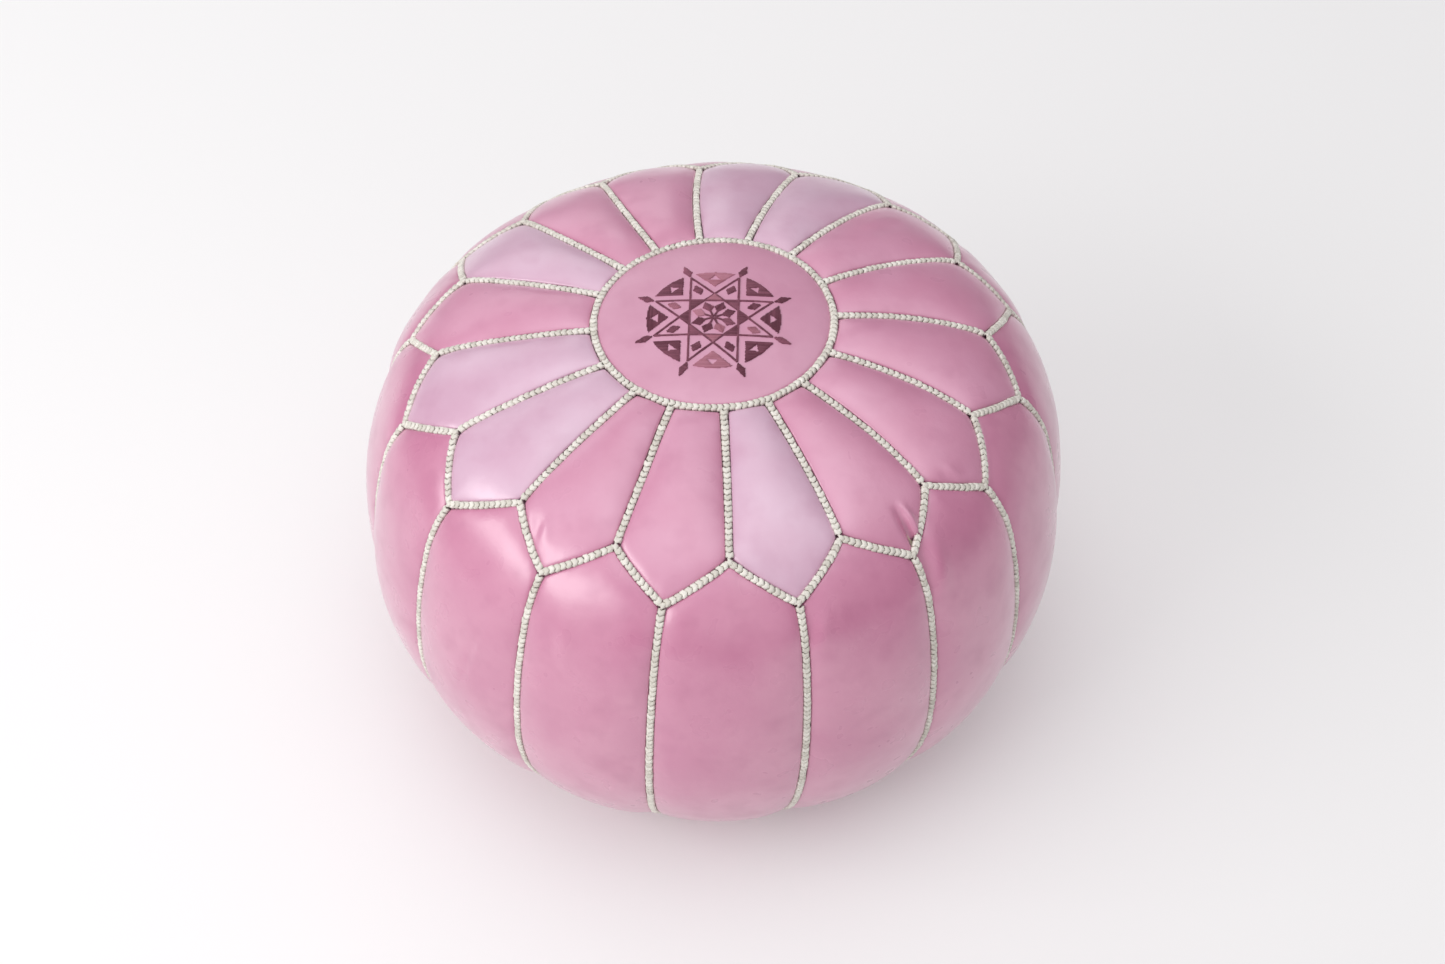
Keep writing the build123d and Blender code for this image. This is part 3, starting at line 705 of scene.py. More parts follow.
def puckers(points, normal, across, down, up, seed):
    """Low gathers that run in from the seams, and slow unevenness over the whole panel."""
    offset = Vector((seed * 3.7, seed * 1.3, 0))
    flat = points.reshape(-1, 3)
    nearest = np.minimum(np.minimum(across, down), up)
    slow = np.array([noise.noise(Vector(p) / WAVE_SIZE + offset) for p in flat]).reshape(nearest.shape)
    quick = np.array([noise.noise(Vector(p) / GATHER_SIZE - offset) for p in flat]).reshape(nearest.shape)
    fade = np.exp(-nearest / GATHER_REACH) * np.clip(nearest / (3 * MM), 0, 1)
    lift = slow * WAVE_HEIGHT * np.clip(nearest / (12 * MM), 0, 1)
    lift += quick * GATHER_HEIGHT * fade
    drop = sum(np.exp(-d / SHOULDER_REACH) for d in (across, down, up))
    lift -= SHOULDER_DROP * np.minimum(drop, 1.5)
    return points + normal * lift[..., None]


def leather_piece(name, coarse, inner, cosines, folds, seed):
    """One panel cut from the skin, with its gathers, folds, rolled edges and thickness."""
    points, across, down, up = fine_panel(coarse, *inner, cosines)
    normal = surface_normals(points)
    points = puckers(points, normal, across, down, up, seed)
    points = fold_in(points, normal, folds)
    points, closeness = roll_edges(points, across, down, up)
    points[..., 2] = np.maximum(points[..., 2], 0.0)
    mesh = grid_mesh(name, points)
    mark_points(mesh, "edge", closeness)
    piece = link(name, mesh)
    thicken(piece, LEATHER)
    return piece


# The zigzag crosses the panels at a slant, so a distance down a panel is longer than one to the seam.
ZIGZAG_SLANT = math.cos(math.atan2(S_TIP - S_PEAK, PETAL_TIP_RADIUS * STEP / 2))
LILAC_PETALS = (0, 6, 7, 10, 12, 13)


def panel_of_skin(first, rows):
    """The skin's points over one panel, from its first column to the next panel's."""
    return SKIN[rows][:, np.arange(first, first + COLUMNS + 1) % TOTAL_COLUMNS]


def make_petals():
    for k in range(PANELS):
        coarse = panel_of_skin(k * COLUMNS, slice(0, ZIGZAG_ROW + 1))
        name = f"petal_{k + 1:02d}"
        folds = PETAL_FOLDS.get(k, [])
        piece = leather_piece("leather_" + name, coarse, (40, 30), (1, ZIGZAG_SLANT), folds, k)
        lilac = k in LILAC_PETALS
        slot, material = ("leather_lilac", LEATHER_LILAC) if lilac else ("leather_pink", LEATHER_PINK)
        finish(piece, material, name)


def make_side_panels():
    for k in range(PANELS):
        coarse = panel_of_skin(k * COLUMNS - COLUMNS // 2, slice(ZIGZAG_ROW, None))
        name = f"side_panel_{k + 1:02d}"
        folds = SIDE_FOLDS.get(k, [])
        piece = leather_piece("leather_" + name, coarse, (84, 30), (ZIGZAG_SLANT, 1), folds, 40 + k)
        finish(piece, LEATHER_SIDE, name)


MEDALLION_DOME = 2.2 * MM
MEDALLION_WAVE_SIZE, MEDALLION_WAVE_HEIGHT = 35 * MM, 0.5 * MM
MEDALLION_COLUMNS = 128


def medallion_wave(point):
    """The slow unevenness of the medallion at a point."""
    return noise.noise(Vector(point) / MEDALLION_WAVE_SIZE) * MEDALLION_WAVE_HEIGHT


def make_medallion():
    """The round middle, a flat polar sheet that domes a little and rolls down at its ring."""
    ring = np.arange(MEDALLION_COLUMNS) / MEDALLION_COLUMNS * PANELS
    edge = S_RING + around(RING_OUT, ring) * MM
    azimuth = FRONT + ring * STEP + around(RING_ALONG, ring) * MM / MEDALLION_RADIUS
    shares = 1 - lines_across(2 * S_RING, 56)[:38]
    rows = []
    for share in shares[::-1]:
        s = edge * (2 * share - 1)
        swell = (1 - (s / edge) ** 2) * MEDALLION_DOME
        rows.append(lay_on(s, azimuth, swell - SEAM_SINK))
    points = np.array(rows)
    normal = np.cross(np.gradient(points, axis=0), np.roll(points, -1, 1) - np.roll(points, 1, 1))
    normal /= np.maximum(np.linalg.norm(normal, axis=-1, keepdims=True), 1e-12)
    nearest = edge[None, :] * (2 - 2 * shares[::-1, None])
    waves = np.array([medallion_wave(p) for p in points.reshape(-1, 3)]).reshape(nearest.shape)
    near = np.clip((ROLL_END - nearest) / (ROLL_END - ROLL_START), 0, 1)
    lift = waves - ROLL_DEPTH * (1 - np.sqrt(1 - near**2))
    lift -= SHOULDER_DROP * np.exp(-nearest / SHOULDER_REACH)
    points = points + normal * lift[..., None]
    mesh = grid_mesh("leather_medallion", points, closed=True)
    # Closeness to the ring sets the deeper edge tone and the painted shade down in the groove.
    closeness = np.exp(-np.maximum(nearest - ROLL_START, 0) / EDGE_TONE_REACH)
    mark_points(mesh, "edge", closeness)
    piece = link("leather_medallion", mesh)
    only(piece)
    bpy.ops.object.mode_set(mode="EDIT")
    bpy.ops.mesh.select_all(action="SELECT")
    bpy.ops.mesh.remove_doubles(threshold=0.05 * MM)
    bpy.ops.mesh.select_all(action="DESELECT")
    bpy.ops.mesh.select_non_manifold(extend=False, use_wire=False, use_multi_face=False, use_verts=False)
    bpy.ops.object.mode_set(mode="OBJECT")
    small = [v for v in piece.data.vertices if v.select and math.hypot(v.co.x, v.co.y) < 0.02]
    for vertex in piece.data.vertices:
        vertex.select = False
    for vertex in small:
        vertex.select = True
    bpy.ops.object.mode_set(mode="EDIT")
    bpy.ops.mesh.select_mode(type="VERT")
    if small:
        bpy.ops.mesh.edge_face_add()
    bpy.ops.object.mode_set(mode="OBJECT")
    thicken(piece, LEATHER)
    finish(piece, LEATHER_MEDALLION, "medallion")


make_petals()
make_side_panels()
make_medallion()


# ---------------------------------------------------------------------------------------------
# The braid: blocks of plied thread, one after another along every seam
# ---------------------------------------------------------------------------------------------
BLOCK_PITCH = 4.3 * MM
BLOCK_WIDTH = 6.1 * MM
BLOCK_HEIGHT = 2.4 * MM
BRAID_TOP = -0.1 * MM


def pick(mesh, test):
    """In edit mode, selects just the vertices whose place passes the test."""
    edited = bmesh.from_edit_mesh(mesh)
    for vertex in edited.verts:
        vertex.select = test(vertex.co)
    edited.select_flush(True)
    bmesh.update_edit_mesh(mesh)


def model_block():
    """One block of the braid: three plied threads side by side, drawn in and down at both ends, with
    the middle one pulled ahead so that a row of blocks shows as chevrons."""
    bpy.ops.object.select_all(action="DESELECT")
    bpy.ops.mesh.primitive_grid_add(x_subdivisions=4, y_subdivisions=6, size=1.0)
    block = bpy.context.object
    bpy.ops.object.mode_set(mode="EDIT")
    bpy.ops.mesh.select_mode(type="VERT")
    heights = ((0, 0.50), (1 / 6, 0.36), (1 / 3, 0.42), (1 / 2, -0.45))
    for offset, height in heights:
        pick(block.data, lambda co: abs(abs(co.y) - offset) < 0.02)
        bpy.ops.transform.translate(value=(0, 0, height))
    pick(block.data, lambda co: abs(co.x) > 0.4)
    bpy.ops.transform.resize(value=(1, 0.78, 1), center_override=(0, 0, 0))
    bpy.ops.transform.translate(value=(0, 0, -0.34))
    pick(block.data, lambda co: 0.2 < abs(co.x) < 0.3)
    bpy.ops.transform.resize(value=(1.35, 0.99, 0.94), center_override=(0, 0, 0))
    for low, high, slide in ((-0.05, 0.05, 0.16), (0.05, 0.22, 0.06), (0.22, 0.6, -0.12)):
        pick(block.data, lambda co: low <= abs(co.y) < high)
        bpy.ops.transform.translate(value=(slide, 0, 0))
    bpy.ops.mesh.select_all(action="DESELECT")
    bpy.ops.mesh.select_non_manifold(extend=False)
    bpy.ops.mesh.edge_face_add()
    bpy.ops.object.mode_set(mode="OBJECT")
    points = np.array([v.co[:] for v in block.data.vertices])
    faces = [list(p.vertices) for p in block.data.polygons]
    bpy.data.objects.remove(block)
    return points, faces


def model_strand():
    """One thread of the embroidery: a short blunt spindle with a few dozen faces."""
    bpy.ops.object.select_all(action="DESELECT")
    bpy.ops.mesh.primitive_cylinder_add(vertices=6, radius=0.5, depth=1.0, rotation=(0, math.pi / 2, 0))
    strand = bpy.context.object
    bpy.ops.object.transform_apply(location=True, rotation=True, scale=True)
    bpy.ops.object.mode_set(mode="EDIT")
    bpy.ops.mesh.select_mode(type="FACE")
    bpy.ops.mesh.select_all(action="DESELECT")
    edited = bmesh.from_edit_mesh(strand.data)
    for face in edited.faces:
        face.select = len(face.verts) > 4
    bmesh.update_edit_mesh(strand.data)
    bpy.ops.mesh.inset(thickness=0.2, depth=0.10)
    bpy.ops.object.mode_set(mode="OBJECT")
    points = np.array([v.co[:] for v in strand.data.vertices])
    faces = [list(p.vertices) for p in strand.data.polygons]
    bpy.data.objects.remove(strand)
    points[:, 0] /= np.abs(points[:, 0]).max() * 2
    return points, faces


BLOCK = model_block()
STRAND = model_strand()


def resample(points, normals, pitch, trim):
    """Evenly spaced places along a line of points, with their directions and outward normals."""
    steps = np.linalg.norm(np.diff(points, axis=0), axis=1)
    along = np.concatenate([[0], np.cumsum(steps)])
    length = along[-1] - 2 * trim
    count = max(1, round(length / pitch))
    spots = trim + (np.arange(count) + 0.5) * length / count

    def read(values, places):
        return np.stack([np.interp(places, along, values[:, i]) for i in range(3)], -1)

    ahead = read(points, spots + pitch / 2) - read(points, spots - pitch / 2)
    ahead /= np.linalg.norm(ahead, axis=1, keepdims=True)
    up = read(normals, spots)
    up -= ahead * (up * ahead).sum(1, keepdims=True)
    up /= np.linalg.norm(up, axis=1, keepdims=True)
    return read(points, spots), ahead, up, length / count


def lay_copies(shape, placed):
    """One mesh of many copies of a shape. Each is (centre, along, across, up, tone)."""
    shape_points, shape_faces = shape
    count, size = len(placed), len(shape_points)
    points = np.empty((count, size, 3))
    tones = np.empty((count, size))
    for i, (centre, along, across, up, tone) in enumerate(placed):
        points[i] = centre + shape_points @ np.array([along, across, up])
        tones[i] = tone
    faces = [[v + size * i for v in face] for i in range(count) for face in shape_faces]
    mesh = bpy.data.meshes.new("copies")
    mesh.from_pydata(points.reshape(-1, 3).tolist(), [], faces)
    mark_points(mesh, "tone", tones)
    mesh.update()
    return mesh


def braid_blocks(points, normals, draw, trim):
    """The blocks of one braided seam, each a little different."""
    centres, ahead, up, pitch = resample(points, normals, BLOCK_PITCH, trim)
    placed = []
    for centre, along, out in zip(centres, ahead, up):
        across = np.cross(out, along)
        swing = draw.uniform(-0.10, 0.10)
        along, across = along + across * swing, across - along * swing
        wide = BLOCK_WIDTH * draw.uniform(0.90, 1.06)
        lift = BRAID_TOP - BLOCK_HEIGHT / 2 + draw.uniform(-0.15, 0.15) * MM
        middle = centre + out * lift + across * draw.uniform(-0.25, 0.25) * MM
        length = pitch * draw.uniform(0.96, 1.04)
        tone = draw.uniform(0.45, 1.0)
        placed.append((middle, along * length, across * wide, out * BLOCK_HEIGHT, tone))
    return placed


def skin_line(rows, columns):
    """The seam line through those rows and columns of the even skin, with its outward normals."""
    columns = np.asarray(columns) % TOTAL_COLUMNS
    slope = np.interp(S_PLAN[rows, columns], LINE_S, LINE_SLOPE)
    azimuth = A_PLAN[rows, columns]
    out = np.stack([np.sin(slope) * np.cos(azimuth), np.sin(slope) * np.sin(azimuth), np.cos(slope)], -1)
    return SKIN_START[rows, columns], out


def make_braid(name, lines, seed, trim, node, knots=False):
    """The braid along some seams; knots puts one round stitch where each seam starts."""
    draw = random.Random(seed)
    placed = []
    for rows, columns in lines:
        points, normals = skin_line(rows, columns)
        placed += braid_blocks(points, normals, draw, trim)
        if knots:
            along = points[1] - points[0]
            along /= np.linalg.norm(along)
            across = np.cross(normals[0], along)
            middle = points[0] + normals[0] * (BRAID_TOP - BLOCK_HEIGHT / 2 + 0.1 * MM)
            size = BLOCK_PITCH * draw.uniform(1.0, 1.15)
            placed.append((middle, along * size, across * size, normals[0] * BLOCK_HEIGHT, 0.7))
    piece = link(name, lay_copies(BLOCK, placed))
    finish(piece, ECRU_THREAD, node)


def seam_lines():
    """Every seam as the skin's rows and columns that it runs through, group by group."""
    ring_columns = np.arange(TOTAL_COLUMNS + 1)
    ring = [(np.zeros(TOTAL_COLUMNS + 1, int), ring_columns)]
    base = [(np.full(TOTAL_COLUMNS + 1, LAST_ROW), ring_columns)]
    petals, sides, zigzags = [], [], []
    for k in range(PANELS):
        peak, tip = k * COLUMNS, k * COLUMNS + COLUMNS // 2
        petals.append((np.arange(0, ZIGZAG_ROW + 1), np.full(ZIGZAG_ROW + 1, peak)))
        sides.append((np.arange(ZIGZAG_ROW, LAST_ROW + 1), np.full(SIDE_ROWS + 1, tip)))
        half = COLUMNS // 2 + 1
        zigzags.append((np.full(half, ZIGZAG_ROW), np.arange(peak, tip + 1)))
        zigzags.append((np.full(half, ZIGZAG_ROW), np.arange(tip, peak + COLUMNS + 1)))
    return ring, base, petals, sides, zigzags


RING_LINE, BASE_LINE, PETAL_LINES, SIDE_LINES, ZIGZAG_LINES = seam_lines()
make_braid("braid_round_medallion", RING_LINE, 11, 0.0, "medallion_braid")
make_braid("braid_round_base", BASE_LINE, 12, 0.0, "base_braid")
make_braid("braids_between_petals", PETAL_LINES, 13, BLOCK_WIDTH * 0.45, "petal_seam_braids")
make_braid("braids_between_sides", SIDE_LINES, 14, BLOCK_WIDTH * 0.45, "side_seam_braids")
make_braid("braids_of_zigzag", ZIGZAG_LINES, 15, BLOCK_PITCH * 0.4, "zigzag_braids", knots=True)


# ---------------------------------------------------------------------------------------------
# The embroidered star
# ---------------------------------------------------------------------------------------------
STAR_RADIUS = 45.6 * MM
STAR_SHIFT = (-1.95 * MM, -3.0 * MM)
STAR_TURN = -3.4
STITCH_PITCH = 0.72 * MM
STITCH_WIDTH, LINE_STITCH_WIDTH = 0.80 * MM, 0.95 * MM
STITCH_HEIGHT, STITCH_LIFT = 0.95 * MM, 0.22 * MM
LINE_STITCH = 4.5 * MM
LINE_HALF_GAP = 0.36 * MM
LINE_DISTANCE = STAR_RADIUS * cosine(67.5)
OCTAGON_CORNER = LINE_DISTANCE / cosine(22.5)
CROSSING = LINE_DISTANCE * math.sqrt(2)


def turned(points, degrees):
    """Plan points turned about the middle of the star."""
    c, s = cosine(degrees), sine(degrees)
    return [(x * c - y * s, x * s + y * c) for x, y in points]


def clip_lines(loops, direction, pitch):
    """Parallel stitches that fill closed loops: their two ends, in a plane."""
    flat = [turned(loop, -direction) for loop in loops]
    lowest = min(y for loop in flat for _, y in loop)
    highest = max(y for loop in flat for _, y in loop)
    stitches = []
    for i in range(int((highest - lowest) / pitch) + 1):
        level = lowest + (i + 0.5) * pitch
        cuts = []
        for loop in flat:
            for (x0, y0), (x1, y1) in zip(loop, loop[1:] + loop[:1]):
                if (y0 <= level) != (y1 <= level):
                    cuts.append(x0 + (level - y0) / (y1 - y0) * (x1 - x0))
        cuts.sort()
        for start, end in zip(cuts[::2], cuts[1::2]):
            if end - start > 0.5 * MM:
                stitches.append(turned([(start, level), (end, level)], direction))
    return stitches


def on_medallion(x, y):
    """The point of the medallion's top above a plan position, with its outward normal."""
    x, y = turned([(x, y)], STAR_TURN)[0]
    x, y = x + STAR_SHIFT[0], y + STAR_SHIFT[1]
    radius = math.hypot(x, y)
    s = DOME_RADIUS * math.asin(radius / DOME_RADIUS)
    azimuth = math.atan2(y, x)
    swell = (1 - (s / S_RING) ** 2) * MEDALLION_DOME
    point = lay_on(np.array(s), np.array(azimuth), swell - SEAM_SINK)
    slope = s / DOME_RADIUS + 2 * MEDALLION_DOME * s / S_RING**2
    level = math.sin(slope)
    out = np.array([level * math.cos(azimuth), level * math.sin(azimuth), math.cos(slope)])
    return point + out * medallion_wave(point), out


def stitch(start, end, tone, width=STITCH_WIDTH):
    """One satin stitch from start to end in plan, lying just proud of the leather."""
    (a, up_a), (b, up_b) = on_medallion(*start), on_medallion(*end)
    along = b - a
    length = np.linalg.norm(along)
    out = up_a + up_b
    out -= along * out.dot(along) / length**2
    out /= np.linalg.norm(out)
    across = np.cross(out, along / length)
    centre = (a + b) / 2 + out * STITCH_LIFT
    return (centre, along * 1.04, across * width, out * STITCH_HEIGHT, tone)


def filled(loops, direction, tone, draw):
    """Satin stitches that fill closed loops, each a little longer or shorter than its place."""
    placed = []
    for start, end in clip_lines(loops, direction, STITCH_PITCH):
        start, end = np.array(start), np.array(end)
        along = (end - start) / np.linalg.norm(end - start) * MM
        start = start + along * draw.uniform(-0.45, 0.25)
        end = end + along * draw.uniform(-0.25, 0.45)
        patch = noise.noise(Vector((*start, tone)) / (7 * MM)) * 0.35
        placed.append(stitch(start, end, tone + patch + draw.uniform(-0.20, 0.20)))
    return placed


def star_line(start, end, tone, draw):
    """A line of back stitches, laid two threads side by side."""
    run = np.array(end) - np.array(start)
    count = max(1, round(np.linalg.norm(run) / LINE_STITCH))
    side = np.array([-run[1], run[0]]) / np.linalg.norm(run)
    placed = []
    for i in range(count):
        a = np.array(start) + run * i / count
        b = np.array(start) + run * (i + 1.08) / count
        for sign in (-1, 1):
            shift = side * (LINE_HALF_GAP * sign + draw.uniform(-0.12, 0.12) * MM)
            shade = tone + draw.uniform(-0.15, 0.15)
            placed.append(stitch(a + shift, b + shift, shade, LINE_STITCH_WIDTH))
    return placed


def scaled(points):
    """Points given in shares of the star's radius, in metres."""
    return [(x * STAR_RADIUS, y * STAR_RADIUS) for x, y in points]


def kite(start, middle, end, half, lean=0.0):
    """A lozenge about +X whose sides lean, as counted stitches make it."""
    return scaled([(start, 0), (middle - lean, half), (end, 0), (middle + lean, -half)])


def segment_loops():
    """The curved triangle between two points of the star, and its open window."""
    arc = [(1.06 * cosine(a), 1.06 * sine(a)) for a in np.linspace(-16.5, 16.5, 9)]
    return scaled([(0.72, 0)] + arc), scaled([(0.88, -0.10), (1.0, 0), (0.88, 0.10)])


def make_star():
    draw = random.Random(21)
    lines, plum, rose = [], [], []
    corner_y = STAR_RADIUS * sine(67.5)
    # Tones run from 0, the deepest thread, to 1, the palest of that colour.
    segment_tones = {0: 0.1, 1: 0.35, 2: 0.75, 3: 0.15, 4: 0.1, 5: 0.2, 6: 0.8, 7: 0.1}
    wedge_tones = {0: 0.1, 1: 0.45, 2: 0.6, 3: 0.05, 4: 0.1, 5: 0.5, 6: 0.65, 7: 0.1}
    diamond_tones = [0.1, 0.15, 0.4, 0.7, 0.1, 0.25, 0.3, 0.8]
    flower_tones = [0.15, 0.1, 0.55, 0.9, 0.05, 0.1, 0.75, 0.5]
    finial_tones = [0.1, 0.2, 0.6, 0.7, 0.2, 0.1, 0.15, 0.75]
    for k in range(8):
        straight, point = 45 * k, 22.5 + 45 * k
        ends = turned([(LINE_DISTANCE, -corner_y), (LINE_DISTANCE, corner_y)], straight)
        lines += star_line(*ends, 0.15 if k % 2 else 0.35, draw)
        store = rose if k in (2, 6) else plum
        half = OCTAGON_CORNER * sine(22.5)
        wedge = [(LINE_DISTANCE, -half), (CROSSING, 0), (LINE_DISTANCE, half)]
        store += filled([turned(wedge, straight)], 0, wedge_tones[k], draw)
        loops = [turned(loop, straight) for loop in segment_loops()]
        store += filled(loops, 90 if k % 4 == 0 else 0, segment_tones[k], draw)
        lean = 0.018 if k % 2 else -0.018
        diamond = kite(0.555, 0.68, 0.805, 0.075, lean)
        store = rose if diamond_tones[k] > 0.65 else plum
        store += filled([turned(diamond, point)], point + 90, diamond_tones[k], draw)
        finial = kite(1.02, 1.15, 1.33, 0.062, lean)
        plum += filled([turned(finial, point)], point + 90, finial_tones[k] * 0.8, draw)
        petal = kite(0.13, 0.245, 0.365, 0.088, lean)
        store = rose if flower_tones[k] > 0.65 else plum
        store += filled([turned(petal, point)], point, flower_tones[k], draw)
        stem = turned([(0.012 * STAR_RADIUS, 0), (0.17 * STAR_RADIUS, 0)], point)
        lines += star_line(*stem, 0.1, draw)
    pieces = (
        ("star_outline_stitches", lines, "thread_plum", PLUM_THREAD, "embroidery_outline"),
        ("star_plum_stitches", plum, "thread_plum", PLUM_THREAD, "embroidery_plum_fills"),
        ("star_rose_stitches", rose, "thread_rose", ROSE_THREAD, "embroidery_rose_fills"),
    )
    for name, placed, slot, material, node in pieces:
        finish(link(name, lay_copies(STRAND, placed)), material, node)


make_star()


# ---------------------------------------------------------------------------------------------
# The base, the zip and what the cover holds
# ---------------------------------------------------------------------------------------------
ZIP_GAP = 7.0 * MM
BASE_LEATHER = 1.2 * MM
BASE_COLUMNS, BASE_ROWS = 48, 30
BASE_EDGE_TONE_REACH = 3.0 * MM
# How far the turned edge beside the zip drops, and over what distance.
TURNED_EDGE, TURNED_REACH = 1.0 * MM, 6.0 * MM


def half_disc(side):
    """One leather half of the base, with a turned edge beside the zip and its rim under the braid."""
    points = np.empty((BASE_ROWS, BASE_COLUMNS, 3))
    closeness = np.empty((BASE_ROWS, BASE_COLUMNS))
    for j in range(BASE_COLUMNS):
        x = -cosine(180 * j / (BASE_COLUMNS - 1)) * (BASE_RADIUS - 0.5 * MM) * 0.9985
        reach = math.sqrt(max(BASE_RADIUS**2 - x**2, (ZIP_GAP + 1 * MM) ** 2))
        for i in range(BASE_ROWS):
            t = (1 - cosine(180 * i / (BASE_ROWS - 1))) / 2
            y = ZIP_GAP + (reach - ZIP_GAP) * t
            to_zip, to_rim = y - ZIP_GAP, BASE_RADIUS - math.hypot(x, y)
            rise = TURNED_EDGE * (1 - math.exp(-to_zip / TURNED_REACH))
            lift = noise.noise(Vector((x, side * y, 5)) / 0.04) * 1.1 * MM * min(1, to_zip / 0.02)
            z = BASE_HEIGHT + rise + max(lift, -0.8 * MM)
            points[i, j] = (x, side * y, min(z, BASE_HEIGHT + 2.2 * MM))
            # Closeness to the zip and the rim sets the deeper edge tone and the painted shade in the groove.
            closeness[i, j] = math.exp(-min(to_zip, max(to_rim, 0)) / BASE_EDGE_TONE_REACH)
    if side > 0:
        points, closeness = points[:, ::-1], closeness[:, ::-1]
    mesh = grid_mesh("half", points)
    mark_points(mesh, "edge", closeness)
    return mesh


def make_base():
    for side, word in ((-1, "front"), (1, "back")):
        piece = link(f"leather_base_{word}", half_disc(side))
        only(piece)
        bpy.ops.object.mode_set(mode="EDIT")
        bpy.ops.mesh.select_all(action="SELECT")
        bpy.ops.mesh.normals_make_consistent(inside=False)
        bpy.ops.object.mode_set(mode="OBJECT")
        if piece.data.polygons[len(piece.data.polygons) // 2].normal.z > 0:
            piece.data.flip_normals()
        thicken(piece, BASE_LEATHER)
        finish(piece, LEATHER_BASE, f"base_half_{word}")


# The bag and the filling: stations down their meridian and round it, and the recess over the zip,
# by its widest ring, the step between its rings and its height.
BAG_STATIONS, BAG_COLUMNS = 44, 96
RECESS_RADIUS, RECESS_STEP, RECESS_RINGS, RECESS_HEIGHT = 132 * MM, 26 * MM, 5, 18.5 * MM
BAG_DEPTH, BAG_CLOTH = 7.6 * MM, 0.7 * MM
FILLING_DEPTH = 9.8 * MM


def spun_bag(name, depth, lump_size, lump_height, seed):
    """A closed bag inside the cover: the meridian set in by depth and spun round, then made uneven."""
    stations = np.linspace(2 * MM, S_FOOT, BAG_STATIONS)
    rows = [lay_on(np.array([s]), np.array([math.pi]), -depth)[0] for s in stations]
    last = rows[-1]
    rows.append(np.array([LIP_FOOT_RADIUS, 0, last[2]]))
    top = RECESS_HEIGHT + depth * 0.4
    rows += [np.array([RECESS_RADIUS - k * RECESS_STEP, 0, top]) for k in range(RECESS_RINGS)]
    profile = [(math.hypot(p[0] - LEAN_X * p[2], p[1] - LEAN_Y * p[2]), p[2]) for p in rows]
    angle = np.linspace(0, 2 * math.pi, BAG_COLUMNS, endpoint=False)
    points = np.array([[(r * math.cos(a), r * math.sin(a), z) for a in angle] for r, z in profile])
    flat = points.reshape(-1, 3)
    flat = flat + flat[:, 2:] * np.array([LEAN_X, LEAN_Y, 0])
    offset = Vector((seed, 0, 0))
    lump = np.array([noise.fractal(Vector(p) / lump_size + offset, 0.6, 2.0, 3) for p in flat])
    centre = np.array([0, 0, HEIGHT / 2])
    inward = centre - flat
    inward /= np.linalg.norm(inward, axis=1, keepdims=True)
    keep = np.clip((flat[:, 2] - 6 * MM) / (12 * MM), 0, 1)
    flat = flat + inward * (np.clip(lump + 0.5, 0, 1.4) * lump_height * keep)[:, None]
    mesh = grid_mesh(name, flat.reshape(points.shape), closed=True)
    piece = link(name, mesh)
    only(piece)
    bpy.ops.object.mode_set(mode="EDIT")
    bpy.ops.mesh.select_all(action="DESELECT")
    bpy.ops.mesh.select_mode(type="EDGE")
    bpy.ops.mesh.select_non_manifold(extend=False, use_wire=False, use_multi_face=False, use_verts=False)
    bpy.ops.mesh.fill_holes(sides=0)
    bpy.ops.mesh.select_all(action="SELECT")
    bpy.ops.mesh.normals_make_consistent(inside=False)
    bpy.ops.object.mode_set(mode="OBJECT")
    return piece


def make_inside():
    bag = spun_bag("calico_bag", BAG_DEPTH, 50 * MM, 1.2 * MM, 3)
    thicken(bag, BAG_CLOTH)
    finish(bag, CALICO, "inner_bag")
    filling = spun_bag("cotton_filling", FILLING_DEPTH, 30 * MM, 5 * MM, 9)
    finish(filling, COTTON, "stuffing")


BRASS_NODES = ("zip_teeth_front", "zip_teeth_back", "zip_end_stops", "zip_foot_stop")
BRASS_NODES += ("zip_slider", "zip_pull_tab")
TAPE_NODES = ("zip_tape_front", "zip_tape_back")


def dress_zip():
    for names, material in ((BRASS_NODES, BRASS), (TAPE_NODES, ZIP_TAPE)):
        for name in names:
            dress(nodes[name], material)


make_base()
make_inside()
dress_zip()


# ---------------------------------------------------------------------------------------------
# Floor, light and camera
# ---------------------------------------------------------------------------------------------
# The floor glows a little: painted light that keeps the shadows on it pale.
FLOOR_GLOW = 0.19
FLOOR_HEIGHT = -0.3 * MM
# The light from overhead falls off with this power of a direction's height.
ZENITH_POWER, ZENITH_LIGHT, ROOM_LIGHT = 5.0, 2.05, 0.145
# Each lamp's place, where it points, its width and height, and its power in watts.
LAMPS = {
    "window": ((-2.13, -0.98, 1.8), (0, 0, 0.2), 2.4, 0.9, 31.0),
    "pale_wall": ((-1.1, 2.5, 1.7), (0, 0, 0.2), 2.6, 1.3, 9.0),
    "left_fill": ((-2.2, -1.7, 1.0), (-0.2, 0, 0), 2.4, 1.6, 11.0),
    "front_fill": ((0.5, -2.75, 1.5), (0.1, 0, 0), 2.4, 1.6, 6.5),
}
# What the camera looks at, from how high and how far round in degrees, how far off, and its roll.
TARGET = Vector((12.7, 84.2, 63.1)) * MM
ELEVATION, TURN, ROLL = 48.5, -2.0, -0.25
DISTANCE = 1.783
SENSOR_MM, LENS_MM = 36.0, 53.01841


def make_floor():
    material, _, shader, _ = new_material("pale_studio_floor")
    shader.inputs["Base Color"].default_value = colour("#DCDBDA")
    shader.inputs["Roughness"].default_value = 0.8
    # The floor's own glow is painted light.
    shader.inputs["Emission Color"].default_value = colour("#FFFFFF")
    shader.inputs["Emission Strength"].default_value = FLOOR_GLOW
    bpy.ops.object.select_all(action="DESELECT")
    bpy.ops.mesh.primitive_plane_add(size=24, location=(0, 0, FLOOR_HEIGHT))
    floor = bpy.context.object
    floor.name = "studio_floor"
    floor.data.materials.append(material)


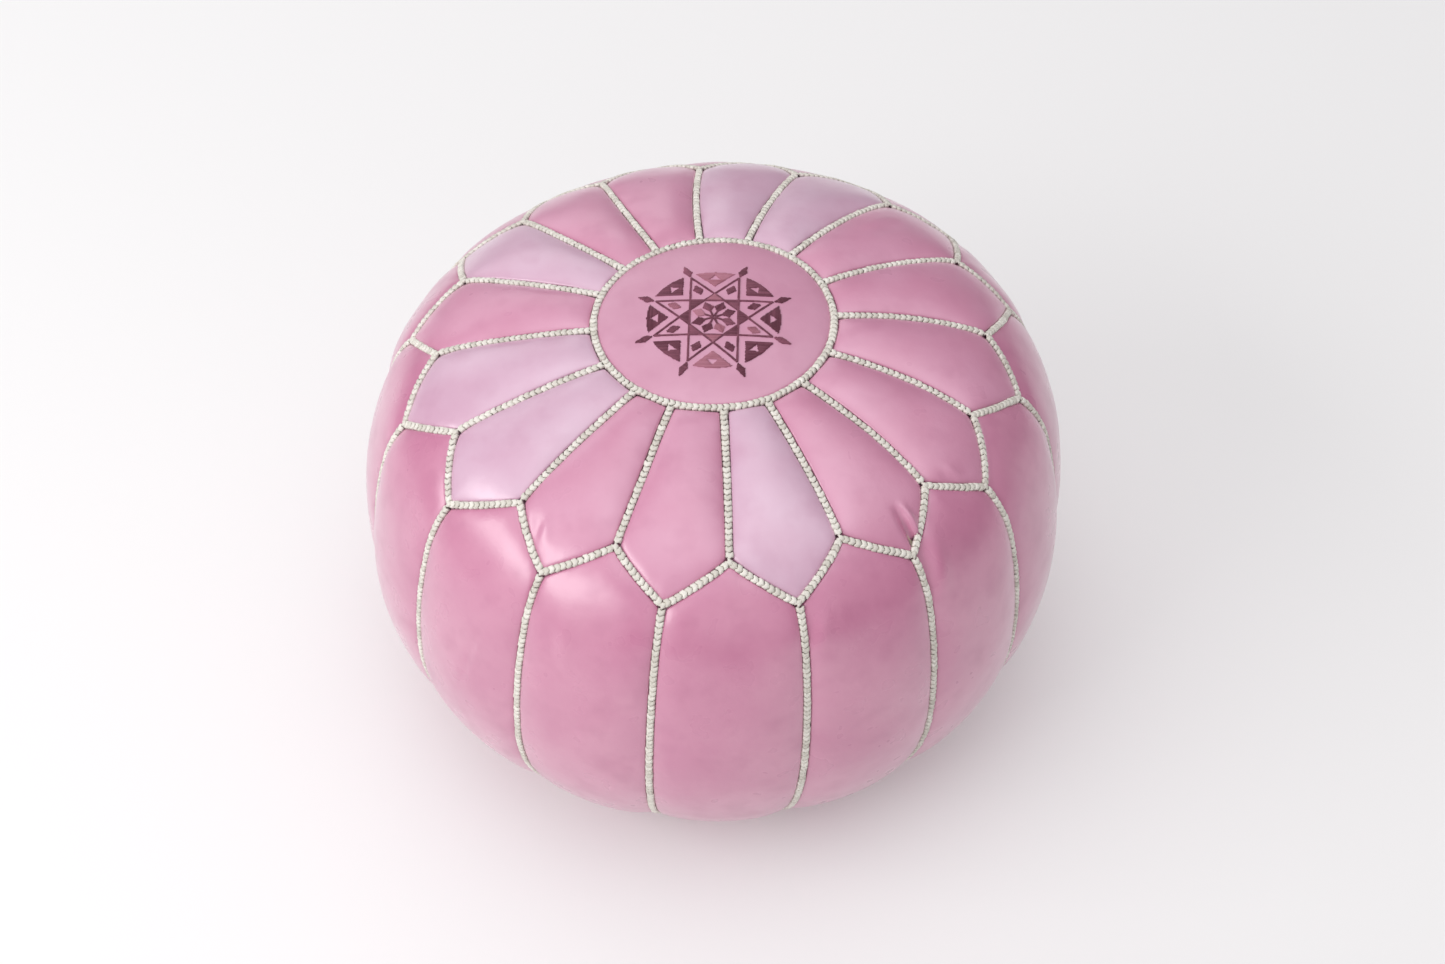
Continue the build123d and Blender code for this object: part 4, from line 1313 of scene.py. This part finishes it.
def soft_light(name, place, aim, width, height, watts):
    data = bpy.data.lights.new(name, "AREA")
    data.shape = "RECTANGLE"
    data.size, data.size_y = width, height
    data.energy = watts
    lamp = bpy.data.objects.new(name, data)
    lamp.location = place
    lamp.rotation_euler = (Vector(aim) - Vector(place)).to_track_quat("-Z", "Y").to_euler()
    bpy.context.scene.collection.objects.link(lamp)


def make_light():
    """A pale room lit mostly from overhead, with a window on the left that shows in the wax."""
    world = bpy.data.worlds.new("studio")
    world.use_nodes = True
    tree = world.node_tree
    background = tree.nodes["Background"]
    direction = add_node(tree, "ShaderNodeTexCoord").outputs["Generated"]
    split = add_node(tree, "ShaderNodeSeparateXYZ", {}, {0: direction})
    up = add_node(tree, "ShaderNodeMath", {"operation": "MAXIMUM", 1: 0.0}, {0: split.outputs["Z"]})
    zenith = add_node(tree, "ShaderNodeMath", {"operation": "POWER", 1: ZENITH_POWER}, {0: up.outputs[0]})
    strength = add_node(
        tree,
        "ShaderNodeMath",
        {"operation": "MULTIPLY_ADD", 1: ZENITH_LIGHT, 2: ROOM_LIGHT},
        {0: zenith.outputs[0]},
    )
    tree.links.new(strength.outputs[0], background.inputs["Strength"])
    background.inputs["Color"].default_value = colour("#FDFCFF")
    bpy.context.scene.world = world
    for name, lamp in LAMPS.items():
        soft_light(name, *lamp)


def make_camera():
    data = bpy.data.cameras.new("camera")
    data.sensor_width = SENSOR_MM
    data.lens = LENS_MM
    data.clip_end = 60
    camera = bpy.data.objects.new("camera", data)
    turn, rise = math.radians(TURN), math.radians(ELEVATION)
    away = Vector((math.sin(turn) * math.cos(rise), -math.cos(turn) * math.cos(rise), math.sin(rise)))
    camera.location = TARGET + away * DISTANCE
    look = (-away).to_track_quat("-Z", "Y").to_matrix().to_4x4()
    camera.rotation_euler = (look @ Matrix.Rotation(math.radians(ROLL), 4, "Z")).to_euler()
    bpy.context.scene.collection.objects.link(camera)
    bpy.context.scene.camera = camera


make_floor()
make_light()
make_camera()
bpy.context.scene.view_settings.view_transform = "Standard"
